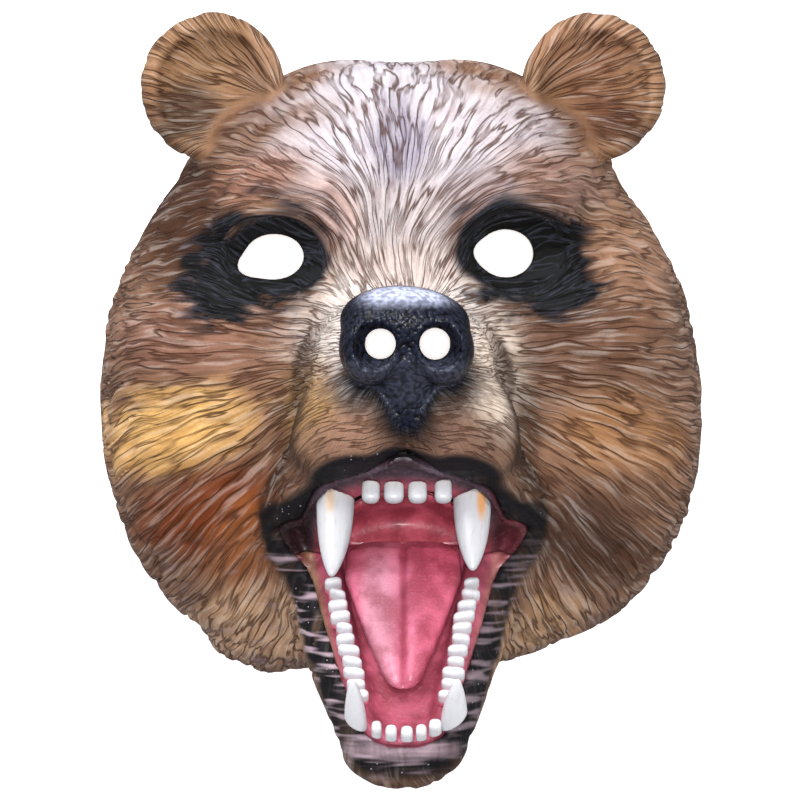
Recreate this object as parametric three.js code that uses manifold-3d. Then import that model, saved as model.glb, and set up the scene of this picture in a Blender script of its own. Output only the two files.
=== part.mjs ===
// Roaring bear mask: a hollow moulded rubber face with gums, tongue and teeth set in its open mouth.
// Millimetres. The mask lies on its open back: Z points away from the wearer, Y to the crown, X to the
// viewer's right. The form is a set of blended rounded lumps.
import * as THREE from 'three';
import { mergeVertices } from 'three/addons/utils/BufferGeometryUtils.js';
import Module from 'manifold-3d';

const wasm = await Module();
wasm.setup();

// Driving dimensions
const WALL = 2.2;
const LINING = 2.0;
const GAP = 0.3;
const LIP_GAP = 0.95;
const DOME_HEIGHT = 56;
const OUTLINE_CENTRE_Y = 5;
const DOME_PLAN_POWER = 2.8;
const LEAST_DOME_SLOPE = 0.6;
const FAR = 60;
const MIDLINE_SOFTNESS = 3;
const EYE_OFFSET = { x: 3.6, level: 44, spread: 17, fadeFrom: 45, fadeTo: 85 };
const RIDGE_RADIUS = 4.2;
const RIDGE_FILLET = 3;
const RIDGE_COVER = 1.5;

// Rim outline: angle from the crown, radius from the outline's centre on the viewer's left and right
const OUTLINE = [
  { angle: 0, left: 101, right: 101 },
  { angle: 18, left: 104, right: 104 },
  { angle: 34, left: 102.5, right: 101.5 },
  { angle: 50, left: 95.5, right: 93 },
  { angle: 62, left: 95, right: 93 },
  { angle: 80, left: 96, right: 93.5 },
  { angle: 100, left: 96, right: 94.5 },
  { angle: 115, left: 96.5, right: 95.5 },
  { angle: 128, left: 98, right: 95 },
  { angle: 138, left: 101, right: 97 },
  { angle: 147, left: 105.5, right: 97 },
  { angle: 154, left: 104, right: 97 },
  { angle: 163, left: 97, right: 96 },
  { angle: 180, left: 92, right: 92 },
];

// Rounded lumps that swell the dome, mirrored in the midline; turn is yaw and roll in degrees
const LUMPS = [
  { name: 'forehead', centre: [16, 50, 30], radii: [44, 42, 37], turn: [0, 0], blend: 16 },
  { name: 'brow', centre: [31, 59, 53], radii: [24, 10, 14], turn: [10, -14], blend: 12 },
  { name: 'cheekbone', centre: [50, 16, 38], radii: [30, 22, 20], turn: [22, -20], blend: 18 },
  { name: 'cheek', centre: [50, -14, 24], radii: [42, 58, 31], turn: [16, 0], blend: 18 },
  { name: 'lip pad', centre: [15.5, -9, 98.5], radii: [17, 18.5, 17], turn: [0, 0], blend: 5 },
  { name: 'nose top', centre: [0, 21, 112], radii: [19.5, 11, 15], turn: [0, 0], blend: 4 },
  { name: 'nose wing', centre: [11.5, 13, 118], radii: [8.8, 11, 12], turn: [0, 0], blend: 3 },
];
// Tapered limbs: muzzle, nose stem and jaw on the midline, the flews down to the mouth corners
const MUZZLE = { from: [0, -4, 24], to: [0, 7, 87], radii: [40, 23], widen: 1.22, blend: 14 };
const PHILTRUM = { from: [0, 9, 110], to: [0, -5, 109], radii: [12.5, 4.5], widen: 1, blend: 3 };
const FLEW = { from: [34, -40, 55], to: [23, -16, 94], radii: [13, 10.5], widen: 1, blend: 8 };
const JAW = { from: [0, -58, 42], to: [0, -104, 85], radii: [31, 16], widen: 1.25, blend: 10 };
const SOCKET = { centre: [36.5, 41, 73], radii: [19, 10.5, 14.5], turn: [-10, -16], blend: 9 };
// How far the nose's axis is off the midline, and the depths over which it moves there
const NOSE_AXIS = { x: 1.1, from: 80, to: 105 };
// Cups of the nostrils, either side of the nose's axis
const NOSTRIL_CUP = { x: 9.5, y: 13.8, z: 131, radii: [6.6, 7.6, 12], sides: 14, rings: 8 };

// Holes right through the skin; corner is the angle of a teardrop's point and reach how far it draws out
const EYE_HOLES = [
  { centre: [-39.8, 42], half: [9.2, 7], corner: 207, reach: 0.32 },
  { centre: [31.6, 43], half: [8.5, 7.3], corner: 176, reach: 0.16 },
];
const NOSTRIL_HOLES = [
  { centre: [-6.8, 14.4], half: [4.6, 4.5], corner: 0, reach: 0 },
  { centre: [9.4, 14.4], half: [4.6, 4.7], corner: 0, reach: 0 },
];
const HOLE_SIDES = 28;
const CORNER_SHARPNESS = 8;
const EYE_CUT = { low: 20, high: 110 };
const NOSTRIL_CUT = { low: 96, high: 150 };

// The two jaws as frames: origin at the back of the mouth, height off the gums, along to the front.
// The teeth stand up from the lower jaw and hang down from the upper.
const LOWER = { origin: [0, -46, 52], pitch: 34.1, bite: 1 };
const UPPER = { origin: [0, -43.7, 60], pitch: 118.8, bite: -1 };
const MOUTH_BACK = [0, -47.5, 53];
const MOUTH_WALL = {
  half: 42,
  top: 37,
  taper: 0.44,
  flare: 0.5,
  depth: 16,
  front: -106.5,
  frontFlare: 0.25,
  round: 8,
};
const ARCH = { half: 26, back: 58, reach: 40, power: 2.6, vault: 10, drop: 0.5, round: 6 };
// How far the upper lip hangs in front of the gum, less in a notch on the midline, over which part of the
// arch and from where forward
const LIP_DROP = { depth: 8, notch: 4.5, reach: 12, from: 1.1, to: 1.26, back: 62, front: 86 };
const LOWER_RIDGE = { round: 64, radius: 13, spread: 0.19, height: 1.5 };

// Ears: a cup turned about its own axis, profile as share of the radius and height over the base
const EAR = { x: 60, y: 96.5, z: 14, radius: 22.5, tall: 1.03, sides: 18 };
const EAR_PROFILE = [
  [0, 0],
  [0.45, 0.8],
  [0.78, 3.6],
  [0.97, 9],
  [1, 13],
  [0.95, 15.4],
  [0.88, 15],
  [0.8, 12],
  [0.6, 7],
  [0.3, 4.4],
  [0, 4],
];

// Teeth in their jaw's frame: x and along on the gum, root and tip heights, lean of the tip in x and along
const FANG = { along: 32.5, root: 0, width: 11.5, depth: 9.5 };
const LOWER_FANG = { root: 2, tip: 29, depth: 8 };
const FANGS = [
  { name: 'upper_fang_left', jaw: UPPER, x: -20.4, tip: -32, ...FANG, lean: [-1, 2] },
  { name: 'upper_fang_right', jaw: UPPER, x: 20.8, tip: -30, ...FANG, lean: [0, 2] },
  { name: 'lower_fang_left', jaw: LOWER, x: -14.2, along: 71, ...LOWER_FANG, width: 7, lean: [-1, -4] },
  { name: 'lower_fang_right', jaw: LOWER, x: 15.2, along: 71, ...LOWER_FANG, width: 8.4, lean: [1, -4] },
];
const UPPER_INCISORS = [
  { x: -9.7, width: 5.6 },
  { x: -2.8, width: 6.2 },
  { x: 4.3, width: 5.9 },
  { x: 12, width: 5.4 },
];
const LOWER_INCISORS = [
  { x: -8, along: 74, width: 3.2 },
  { x: -3.6, along: 75.4, width: 3.6 },
  { x: 1.1, along: 75.8, width: 3.8 },
  { x: 5.4, along: 75.2, width: 3.4 },
  { x: 9.6, along: 73.4, width: 4 },
];
const UPPER_INCISOR = { along: 42, root: 1, tip: -11, depth: 4.5 };
const LOWER_INCISOR = { root: 1.5, tip: 15, depth: 4 };
const CHEEK_ROW = {
  count: 11,
  first: 21.5,
  pitch: 4,
  width: 5.8,
  neck: 4.4,
  bar: 2.8,
  low: 3,
  base: 7,
  top: 12.5,
  bevel: 1.5,
};
// Tooth profiles: share of the height and of the width; rings squarer with a higher power
const FANG_PROFILE = [[0, 1], [0.2, 0.99], [0.4, 0.94], [0.6, 0.8], [0.8, 0.56], [0.93, 0.31], [1, 0.1]];
const INCISOR_PROFILE = [[0, 0.86], [0.45, 1], [0.82, 0.92], [0.95, 0.74], [1, 0.5]];
const FANG_RING = { power: 2.2, sides: 10 };
const INCISOR_RING = { power: 2.8, sides: 10 };
// Tongue sections: distance along the jaw, half width, lowest and highest point over the floor
const TONGUE = [
  { along: 3, half: 13, low: 1.5, high: 6 },
  { along: 8, half: 17.5, low: 0.5, high: 9.5 },
  { along: 18, half: 17.8, low: 0.3, high: 11 },
  { along: 30, half: 14, low: 0.3, high: 10.6 },
  { along: 42, half: 9.8, low: 0.5, high: 10.4 },
  { along: 51, half: 6.4, low: 2, high: 10 },
  { along: 56, half: 4, low: 4, high: 9 },
];

// Depth and spread of the groove down the tongue, and how flat its top is
const TONGUE_SECTION = { sides: 18, depth: 1.6, spread: 0.22, flatness: 0.7 };

const SKIN_COLOUR = 0x7a5a3c;
const GUM_COLOUR = 0x8e4a52;
const TONGUE_COLOUR = 0xb4545a;
const TOOTH_COLOUR = 0xf2eee6;

// Grids that the forms are meshed on: fine cells over the face, coarse ones from there to the rim
const FACE = { low: [-52, -114, 46], high: [52, 66, 138] };
const HEAD_GRID = { low: [-108, -134, -18], high: [108, 117, 145], near: FACE, fine: 7.4, coarse: 15 };
const HOLLOW_GRID = { ...HEAD_GRID, fine: 8.6, coarse: 16 };
const MOUTH = { low: [-42, -120, 42], high: [42, 0, 114] };
const POCKET_GRID = { low: [-62, -126, 30], high: [62, 8, 156], near: MOUTH, fine: 7.4, coarse: 12 };
const AIR_GRID = { ...POCKET_GRID, fine: 5.4 };

// Block that trims the rim flat on the floor, and the half space of one jaw
const FLOOR_BLOCK = { side: 400, deep: 100 };
const JAW_BLOCK = { side: 200, deep: 300 };

const radians = THREE.MathUtils.degToRad;

// Blended union and cut of two distances, rounding the join over a width of blend
function join(a, b, blend) {
  const near = Math.max(blend - Math.abs(a - b), 0) / blend;
  return Math.min(a, b) - near * near * blend * 0.25;
}

function meet(a, b, blend) {
  return -join(-a, -b, blend);
}

// Nearly the distance to an ellipsoid
function ellipsoid(x, y, z, { centre, radii, turn }) {
  let dx = x - centre[0];
  let dy = y - centre[1];
  let dz = z - centre[2];
  const [yaw, roll] = turn.map(radians);
  [dx, dz] = [Math.cos(yaw) * dx + Math.sin(yaw) * dz, Math.cos(yaw) * dz - Math.sin(yaw) * dx];
  [dx, dy] = [Math.cos(roll) * dx + Math.sin(roll) * dy, Math.cos(roll) * dy - Math.sin(roll) * dx];
  const [rx, ry, rz] = radii;
  const size = Math.hypot(dx / rx, dy / ry, dz / rz) + 1e-9;
  const slope = Math.hypot(dx / rx ** 2, dy / ry ** 2, dz / rz ** 2) + 1e-9;
  return (size * (size - 1)) / slope;
}

// Distance to a tapered rod with round ends, widened across X
function limb(x, y, z, { from, to, radii, widen }) {
  const p = [(x - from[0]) / widen, y - from[1], z - from[2]];
  const d = [(to[0] - from[0]) / widen, to[1] - from[1], to[2] - from[2]];
  const span = d[0] * d[0] + d[1] * d[1] + d[2] * d[2];
  const share = THREE.MathUtils.clamp((p[0] * d[0] + p[1] * d[1] + p[2] * d[2]) / span, 0, 1);
  const away = Math.hypot(p[0] - share * d[0], p[1] - share * d[1], p[2] - share * d[2]);
  return away - (radii[0] + (radii[1] - radii[0]) * share);
}

// Radius of the rim towards a point, eased between the rows of the table
function outlineRadius(x, up) {
  const angle = THREE.MathUtils.radToDeg(Math.atan2(Math.abs(x), up));
  const side = x < 0 ? 'left' : 'right';
  const next = OUTLINE.findIndex((row) => row.angle >= angle);
  if (next < 1) return OUTLINE[0][side];
  const a = OUTLINE[next - 1];
  const b = OUTLINE[next];
  const share = THREE.MathUtils.smoothstep(angle, a.angle, b.angle);
  return a[side] + (b[side] - a[side]) * share;
}

// Dome over the rim outline, straight-sided below the floor
function dome(x, y, z) {
  const up = y - OUTLINE_CENTRE_Y;
  const radius = outlineRadius(x, up);
  const plan = Math.hypot(x, up) / radius;
  const rise = Math.max(z, 0) / DOME_HEIGHT;
  const level = plan ** DOME_PLAN_POWER + rise ** 2;
  const planSlope = (DOME_PLAN_POWER * plan ** (DOME_PLAN_POWER - 1)) / radius;
  const slope = Math.hypot(planSlope, (2 * rise) / DOME_HEIGHT, LEAST_DOME_SLOPE / DOME_HEIGHT);
  return THREE.MathUtils.clamp((level - 1) / slope, -FAR, FAR);
}

// The eyes sit a little to one side of the nose
function eyeShift(x, y) {
  const { level, spread, fadeFrom, fadeTo } = EYE_OFFSET;
  const nearLevel = Math.exp(-(((y - level) / spread) ** 2));
  const nearMiddle = THREE.MathUtils.clamp((fadeTo - Math.abs(x)) / (fadeTo - fadeFrom), 0, 1);
  return EYE_OFFSET.x * nearLevel * nearMiddle;
}

// Outside of the head, without ears and nostrils and with the mouth filled
function head(px, y, z) {
  const noseShift = NOSE_AXIS.x * THREE.MathUtils.smoothstep(z, NOSE_AXIS.from, NOSE_AXIS.to);
  const x = px + eyeShift(px, y) - noseShift;
  const side = Math.hypot(x, MIDLINE_SOFTNESS);
  let form = join(dome(x, y, z), limb(x, y, z, MUZZLE), MUZZLE.blend);
  for (const lump of LUMPS) form = join(form, ellipsoid(side, y, z, lump), lump.blend);
  form = join(form, limb(x, y, z, PHILTRUM), PHILTRUM.blend);
  form = join(form, limb(side, y, z, FLEW), FLEW.blend);
  form = meet(form, -ellipsoid(side, y, z, SOCKET), SOCKET.blend);
  return join(form, limb(x, y, z, JAW), JAW.blend);
}

// Height off a jaw's biting surface and distance along it
function inJaw(jaw, y, z) {
  const dy = y - jaw.origin[1];
  const dz = z - jaw.origin[2];
  const turn = radians(jaw.pitch);
  const height = Math.sin(turn) * dy + Math.cos(turn) * dz;
  const along = -Math.cos(turn) * dy + Math.sin(turn) * dz;
  return { height, along };
}

function archSize(x, z) {
  const across = (Math.abs(x) / ARCH.half) ** ARCH.power;
  const forward = (Math.max(z - ARCH.back, 0) / ARCH.reach) ** ARCH.power;
  return (across + forward) ** (1 / ARCH.power);
}

// Air between the jaws, before the gum ridges are added
function mouth(x, y, z) {
  const { height } = inJaw(LOWER, y, z);
  const { origin } = LOWER;
  const flare = Math.min(height, MOUTH_WALL.depth) - MOUTH_WALL.depth;
  const taper = MOUTH_WALL.half + MOUTH_WALL.taper * (y - origin[1]);
  const half = join(taper, MOUTH_WALL.top, MOUTH_WALL.round) + MOUTH_WALL.flare * flare;
  const front = MOUTH_WALL.front - y - MOUTH_WALL.frontFlare * (height - MOUTH_WALL.depth);
  const wallSlope = 1 / Math.hypot(1, MOUTH_WALL.taper, MOUTH_WALL.flare);
  let open = meet(-height, front, MOUTH_WALL.round);
  open = meet(open, (Math.abs(x) - half) * wallSlope, MOUTH_WALL.round);
  const arch = archSize(x, z);
  const vault = ARCH.vault * Math.max(0, 1 - arch ** 2);
  const hang = THREE.MathUtils.smoothstep(arch, LIP_DROP.from, LIP_DROP.to);
  const forward = THREE.MathUtils.smoothstep(z, LIP_DROP.back, LIP_DROP.front);
  const notch = LIP_DROP.notch * (1 - THREE.MathUtils.smoothstep(Math.abs(x), 0, LIP_DROP.reach));
  const drop = (LIP_DROP.depth - notch) * hang * forward;
  return meet(open, inJaw(UPPER, y, z).height - vault + drop, ARCH.round);
}

function upperRidge(x, y, z) {
  const off = (archSize(x, z) - 1) * ARCH.half;
  return Math.hypot(off, inJaw(UPPER, y, z).height + ARCH.drop) - RIDGE_RADIUS;
}

function lowerRidge(x, y, z) {
  const { height, along } = inJaw(LOWER, y, z);
  const past = along - LOWER_RIDGE.round;
  const straight = Math.abs(x) - LOWER_RIDGE.radius + past * LOWER_RIDGE.spread;
  const off = past < 0 ? straight : Math.hypot(x, past) - LOWER_RIDGE.radius;
  return Math.hypot(off, height - LOWER_RIDGE.height) - RIDGE_RADIUS;
}

function air(x, y, z) {
  const open = meet(mouth(x, y, z), -upperRidge(x, y, z), RIDGE_FILLET);
  return meet(open, -lowerRidge(x, y, z), RIDGE_FILLET);
}

// A form grown by a true distance, its own scale being a little uneven
function grown(form, distance) {
  const step = 0.5;
  const leastSlope = 0.85;
  return (x, y, z) => {
    const gx = form(x + step, y, z) - form(x - step, y, z);
    const gy = form(x, y + step, z) - form(x, y - step, z);
    const gz = form(x, y, z + step) - form(x, y, z - step);
    const slope = Math.hypot(gx, gy, gz) / (2 * step);
    return form(x, y, z) - distance * Math.max(slope, leastSlope);
  };
}

function gridLines({ low, high, near, fine, coarse }) {
  const steps = (from, to, cell) => {
    const count = Math.max(1, Math.round((to - from) / cell));
    return Array.from({ length: count }, (_, i) => from + ((to - from) * i) / count);
  };
  return low.map((start, d) => [
    ...steps(start, near.low[d], coarse),
    ...steps(near.low[d], near.high[d], fine),
    ...steps(near.high[d], high[d], coarse),
    high[d],
  ]);
}

// Edges of a grid cell as pairs of corners, whose bits are steps in X, Y and Z, and the edges of each face
const AXES = [0, 1, 2];
const CORNERS = [0, 1, 2, 3, 4, 5, 6, 7];
const stepIn = (corner, axis) => (corner >> axis) & 1;
const CELL_EDGES = AXES.flatMap((axis) => {
  const starts = CORNERS.filter((corner) => !stepIn(corner, axis));
  return starts.map((corner) => [corner, corner + (1 << axis)]);
});
const CELL_FACES = AXES.flatMap((axis) => [0, 1].map((side) => {
  const onFace = (edge) => CELL_EDGES[edge].every((corner) => stepIn(corner, axis) === side);
  return [...CELL_EDGES.keys()].filter(onFace);
}));

// Which sheet of surface crosses each edge of a cell. Two sheets in one cell stay apart.
function sheetsOf(inside) {
  const sheets = CELL_EDGES.map(([a, b], edge) => (inside[a] === inside[b] ? null : edge));
  const innerCorner = (edge) => CELL_EDGES[edge].find((corner) => inside[corner]);
  for (const face of CELL_FACES) {
    const crossed = face.filter((edge) => sheets[edge] !== null);
    for (const a of crossed) {
      for (const b of crossed) {
        if (crossed.length > 2 && innerCorner(a) !== innerCorner(b)) continue;
        const old = sheets[b];
        sheets.forEach((sheet, edge) => {
          if (sheet === old && old !== null) sheets[edge] = sheets[a];
        });
      }
    }
  }
  return sheets;
}

function forEachCell(counts, visit) {
  for (let i = 0; i < counts[0] - 1; i += 1) {
    for (let j = 0; j < counts[1] - 1; j += 1) {
      for (let k = 0; k < counts[2] - 1; k += 1) visit(i, j, k);
    }
  }
}

// Closed mesh of the surface where a form is zero: one vertex for each sheet in a crossed cell, one quad on
// each crossed edge. A form that runs past the grid is closed at the grid's edge.
function surface(form, grid) {
  const lines = gridLines(grid);
  const counts = lines.map((list) => list.length);
  const at = (i, j, k) => (i * counts[1] + j) * counts[2] + k;
  const values = new Float64Array(counts[0] * counts[1] * counts[2]);
  const onEdge = (...place) => place.some((n, d) => n === 0 || n === counts[d] - 1);
  lines[0].forEach((x, i) => lines[1].forEach((y, j) => lines[2].forEach((z, k) => {
    const value = form(x, y, z);
    values[at(i, j, k)] = onEdge(i, j, k) ? Math.max(value, 1) : value;
  })));

  const positions = [];
  const cells = new Map();
  function addCell(...cell) {
    const cornerAt = (corner) => cell.map((n, d) => n + stepIn(corner, d));
    const levels = CORNERS.map((corner) => values[at(...cornerAt(corner))]);
    const inside = levels.map((level) => level < 0);
    const sheets = sheetsOf(inside);
    const vertexOf = new Map();
    for (const sheet of new Set(sheets)) {
      if (sheet === null) continue;
      const crossings = CELL_EDGES.filter((_, edge) => sheets[edge] === sheet).map(([a, b]) => {
        const share = levels[a] / (levels[a] - levels[b]);
        const [start, end] = [cornerAt(a), cornerAt(b)];
        return AXES.map((d) => THREE.MathUtils.lerp(lines[d][start[d]], lines[d][end[d]], share));
      });
      vertexOf.set(sheet, positions.length / 3);
      const middle = (d) => crossings.reduce((sum, place) => sum + place[d], 0) / crossings.length;
      positions.push(...AXES.map(middle));
    }
    cells.set(at(...cell), sheets.map((sheet) => vertexOf.get(sheet)));
  }
  forEachCell(counts, addCell);

  const index = [];
  const apart = (a, b) => Math.hypot(...AXES.map((d) => positions[3 * a + d] - positions[3 * b + d]));
  function addQuad(here, axis) {
    const u = (axis + 1) % 3;
    const v = (axis + 2) % 3;
    const there = here.map((n, d) => (d === axis ? n + 1 : n));
    const inside = values[at(...here)] < 0;
    if (inside === values[at(...there)] < 0 || here[u] < 1 || here[v] < 1) return;
    const quad = [[1, 1], [0, 1], [0, 0], [1, 0]].map(([du, dv]) => {
      const cell = [...here];
      cell[u] -= du;
      cell[v] -= dv;
      const start = (du << u) + (dv << v);
      const edge = CELL_EDGES.findIndex(([a, b]) => a === start && b === start + (1 << axis));
      return cells.get(at(...cell))[edge];
    });
    if (!inside) quad.reverse();
    const [a, b, c, d] = quad;
    if (apart(a, c) < apart(b, d)) index.push(a, b, c, a, c, d);
    else index.push(a, b, d, b, c, d);
  }
  forEachCell(counts, (...here) => AXES.forEach((axis) => addQuad(here, axis)));
  const geometry = new THREE.BufferGeometry();
  geometry.setAttribute('position', new THREE.Float32BufferAttribute(positions, 3));
  geometry.setIndex(index);
  return geometry;
}

// Closed solid through rings of points, its ends capped
function loft(rings) {
  const size = rings[0].length;
  const positions = rings.flat().flatMap((p) => [p.x, p.y, p.z]);
  const index = [];
  for (let r = 0; r < rings.length - 1; r += 1) {
    for (let i = 0; i < size; i += 1) {
      const a = r * size + i;
      const b = r * size + ((i + 1) % size);
      index.push(a, b, b + size, a, b + size, a + size);
    }
  }
  const last = (rings.length - 1) * size;
  for (let i = 1; i < size - 1; i += 1) {
    index.push(0, i + 1, i, last, last + i, last + i + 1);
  }
  const geometry = new THREE.BufferGeometry();
  geometry.setAttribute('position', new THREE.Float32BufferAttribute(positions, 3));
  geometry.setIndex(index);
  return geometry;
}

// Ring with flattened sides: half sizes, and a power over 2 for squarer corners
function ring(centre, halfX, halfZ, { power, sides }) {
  return Array.from({ length: sides }, (_, i) => {
    const turn = (2 * Math.PI * i) / sides;
    const bend = (value) => Math.sign(value) * Math.abs(value) ** (2 / power);
    const x = centre.x + halfX * bend(Math.cos(turn));
    const z = centre.z + halfZ * bend(Math.sin(turn));
    return new THREE.Vector3(x, centre.y, z);
  });
}

function solid(geometry) {
  const bare = geometry.clone();
  for (const name of Object.keys(bare.attributes)) if (name !== 'position') bare.deleteAttribute(name);
  const merged = mergeVertices(bare, 1e-4);
  const vertProperties = new Float32Array(merged.attributes.position.array);
  const triVerts = new Uint32Array(merged.index.array);
  return new wasm.Manifold(new wasm.Mesh({ numProp: 3, vertProperties, triVerts }));
}

function geometryOf(body) {
  const mesh = body.getMesh();
  const geometry = new THREE.BufferGeometry();
  geometry.setAttribute('position', new THREE.Float32BufferAttribute(mesh.vertProperties, 3));
  geometry.setIndex([...mesh.triVerts]);
  return geometry;
}

// Straight cut in Z with an oval or teardrop outline
function hole({ centre, half, corner, reach }, { low, high }) {
  const points = Array.from({ length: HOLE_SIDES }, (_, i) => {
    const turn = (2 * Math.PI * i) / HOLE_SIDES;
    const pull = 1 + reach * Math.max(0, Math.cos(turn - radians(corner))) ** CORNER_SHARPNESS;
    const x = centre[0] + half[0] * pull * Math.cos(turn);
    const y = centre[1] + half[1] * pull * Math.sin(turn);
    return new THREE.Vector2(x, y);
  });
  const options = { depth: high - low, bevelEnabled: false };
  return solid(new THREE.ExtrudeGeometry(new THREE.Shape(points), options).translate(0, 0, low));
}

function nostrilCup(side, extra) {
  const { x, y, z, radii, sides, rings } = NOSTRIL_CUP;
  const ball = new THREE.SphereGeometry(1, sides, rings).scale(...radii.map((radius) => radius + extra));
  return solid(ball.translate(NOSE_AXIS.x + side * x, y, z));
}

function ear(side) {
  const points = EAR_PROFILE.map(([share, rise]) => new THREE.Vector2(share * EAR.radius, rise));
  const cup = new THREE.LatheGeometry(points, EAR.sides).rotateX(Math.PI / 2).scale(1, EAR.tall, 1);
  return solid(cup.translate(side * EAR.x, EAR.y, EAR.z));
}

function heightAxis(jaw) {
  const turn = radians(jaw.pitch);
  return new THREE.Vector3(0, Math.sin(turn), Math.cos(turn));
}

// Matrix from a jaw's frame (x, height, along) to the mask's
function jawMatrix(jaw) {
  const across = new THREE.Vector3(1, 0, 0);
  const height = heightAxis(jaw);
  const along = new THREE.Vector3().crossVectors(across, height);
  return new THREE.Matrix4().makeBasis(across, height, along).setPosition(...jaw.origin);
}

// A tooth as a loft of rings from root to tip
function tooth({ x, along, root, tip, width, depth, lean }, profile, ringShape) {
  const rings = profile.map(([share, size]) => {
    const bend = share * share;
    const centre = new THREE.Vector3(x + lean[0] * bend, root + (tip - root) * share, along + lean[1] * bend);
    return ring(centre, (width / 2) * size, (depth / 2) * size, ringShape);
  });
  const downward = tip < root;
  return loft(downward ? rings : rings.map((points) => points.reverse()));
}

// One ribbed strip: sections along the gum, dipping between the teeth
function cheekRow(side) {
  const { count, first, pitch, width, neck, bar, low, base, top, bevel } = CHEEK_ROW;
  const section = (along, high, wide) => {
    const x = side * (LOWER_RIDGE.radius + (LOWER_RIDGE.round - along) * LOWER_RIDGE.spread);
    const half = wide / 2;
    const crest = half - bevel / 2;
    const shoulder = high - bevel;
    const rightSide = [[half, low], [half, shoulder], [crest, high]];
    const leftSide = rightSide.map(([dx, height]) => [-dx, height]).reverse();
    const corners = [...rightSide, ...leftSide];
    return corners.map(([dx, height]) => new THREE.Vector3(x + dx, height, along));
  };
  const sections = [];
  for (let i = 0; i < count; i += 1) {
    const middle = first + pitch * i;
    sections.push(section(middle - bar / 2, base, neck), section(middle - bar / 4, top, width));
    sections.push(section(middle + bar / 4, top, width), section(middle + bar / 2, base, neck));
  }
  return loft(sections);
}

function tongueForm() {
  const { sides, depth, spread, flatness } = TONGUE_SECTION;
  const rings = TONGUE.map(({ along, half, low, high }) => Array.from({ length: sides }, (_, i) => {
    const turn = (2 * Math.PI * i) / sides;
    const across = Math.cos(turn);
    const rise = Math.sin(turn);
    const groove = rise > 0 ? depth * Math.exp(-((across / spread) ** 2)) : 0;
    const middle = (low + high) / 2;
    const height = middle + ((high - low) / 2) * Math.sign(rise) * Math.abs(rise) ** flatness - groove;
    return new THREE.Vector3(half * across, height, along);
  }));
  return loft(rings);
}

const bear = new THREE.Group();

function addPiece(name, body, colour, roughness) {
  const material = new THREE.MeshStandardMaterial({ color: colour, roughness, metalness: 0 });
  const mesh = new THREE.Mesh(geometryOf(body), material);
  mesh.name = name;
  bear.add(mesh);
}

// Skin: outside less inside, with the mouth, the eye holes and the nostrils cut through
let outside = solid(surface(head, HEAD_GRID));
let inside = solid(surface(grown(head, -WALL), HOLLOW_GRID));
for (const side of [-1, 1]) {
  outside = outside.subtract(nostrilCup(side, 0));
  inside = inside.subtract(nostrilCup(side, WALL));
}
const mouthCut = solid(surface(grown(mouth, LINING + LIP_GAP), POCKET_GRID));
let skin = outside.add(ear(-1)).add(ear(1)).subtract(inside).subtract(mouthCut);
for (const eye of EYE_HOLES) skin = skin.subtract(hole(eye, EYE_CUT));
for (const nostril of NOSTRIL_HOLES) skin = skin.subtract(hole(nostril, NOSTRIL_CUT));
const floorBlock = new THREE.BoxGeometry(FLOOR_BLOCK.side, FLOOR_BLOCK.side, FLOOR_BLOCK.deep);
skin = skin.subtract(solid(floorBlock.translate(0, 0, -FLOOR_BLOCK.deep / 2)));
addPiece('face_skin', skin, SKIN_COLOUR, 0.7);

// Linings: the wall of the mouth pocket as far as the lips, parted between the jaws. The upper gum shows
// below the lip.
function jawSide(side) {
  const block = new THREE.BoxGeometry(JAW_BLOCK.side, JAW_BLOCK.side, JAW_BLOCK.deep);
  const half = block.translate(0, (side * (JAW_BLOCK.side + GAP)) / 2, 0);
  const tilt = 90 - (LOWER.pitch + UPPER.pitch) / 2;
  return solid(half.rotateX(radians(tilt)).translate(...MOUTH_BACK));
}
const pocket = solid(surface(grown(mouth, LINING), POCKET_GRID));
const airSurface = surface(air, AIR_GRID);
const gumsAndHead = (x, y, z) => Math.min(head(x, y, z), upperRidge(x, y, z) - RIDGE_COVER);
const lining = pocket.intersect(solid(surface(gumsAndHead, AIR_GRID))).subtract(solid(airSurface));
addPiece('palate', lining.intersect(jawSide(1)), GUM_COLOUR, 0.35);
addPiece('jaw_lining', lining.intersect(jawSide(-1)), GUM_COLOUR, 0.35);

// Tongue, trimmed to lie just clear of the gums all round
const clearAir = solid(surface(grown(air, -GAP), AIR_GRID));
const tongue = solid(tongueForm().applyMatrix4(jawMatrix(LOWER))).intersect(clearAir);
addPiece('tongue', tongue, TONGUE_COLOUR, 0.3);

// Teeth, their roots trimmed to the gum they stand on
function addTooth(name, geometry, jaw) {
  const lift = heightAxis(jaw).multiplyScalar(jaw.bite * GAP);
  const overGum = solid(airSurface.clone().translate(lift.x, lift.y, lift.z));
  const shape = solid(geometry.applyMatrix4(jawMatrix(jaw)));
  addPiece(name, shape.intersect(overGum), TOOTH_COLOUR, 0.25);
}
for (const fang of FANGS) addTooth(fang.name, tooth(fang, FANG_PROFILE, FANG_RING), fang.jaw);
UPPER_INCISORS.forEach((row, i) => {
  const shape = tooth({ ...UPPER_INCISOR, ...row, lean: [0, 0] }, INCISOR_PROFILE, INCISOR_RING);
  addTooth(`upper_incisor_${i + 1}`, shape, UPPER);
});
LOWER_INCISORS.forEach((row, i) => {
  const shape = tooth({ ...LOWER_INCISOR, ...row, lean: [0, 0] }, INCISOR_PROFILE, INCISOR_RING);
  addTooth(`lower_incisor_${i + 1}`, shape, LOWER);
});
for (const [name, side] of [['left', -1], ['right', 1]]) {
  addTooth(`cheek_teeth_${name}`, cheekRow(side), LOWER);
}

export default bear;
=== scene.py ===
"""Roaring bear mask: fur relief, airbrushed paint, gums, tongue and teeth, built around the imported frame.

The forms are blended distance fields in millimetres: X to the viewer's right, Y to the crown, Z out of the
face.
"""
import math
from types import SimpleNamespace as Sizes

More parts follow.
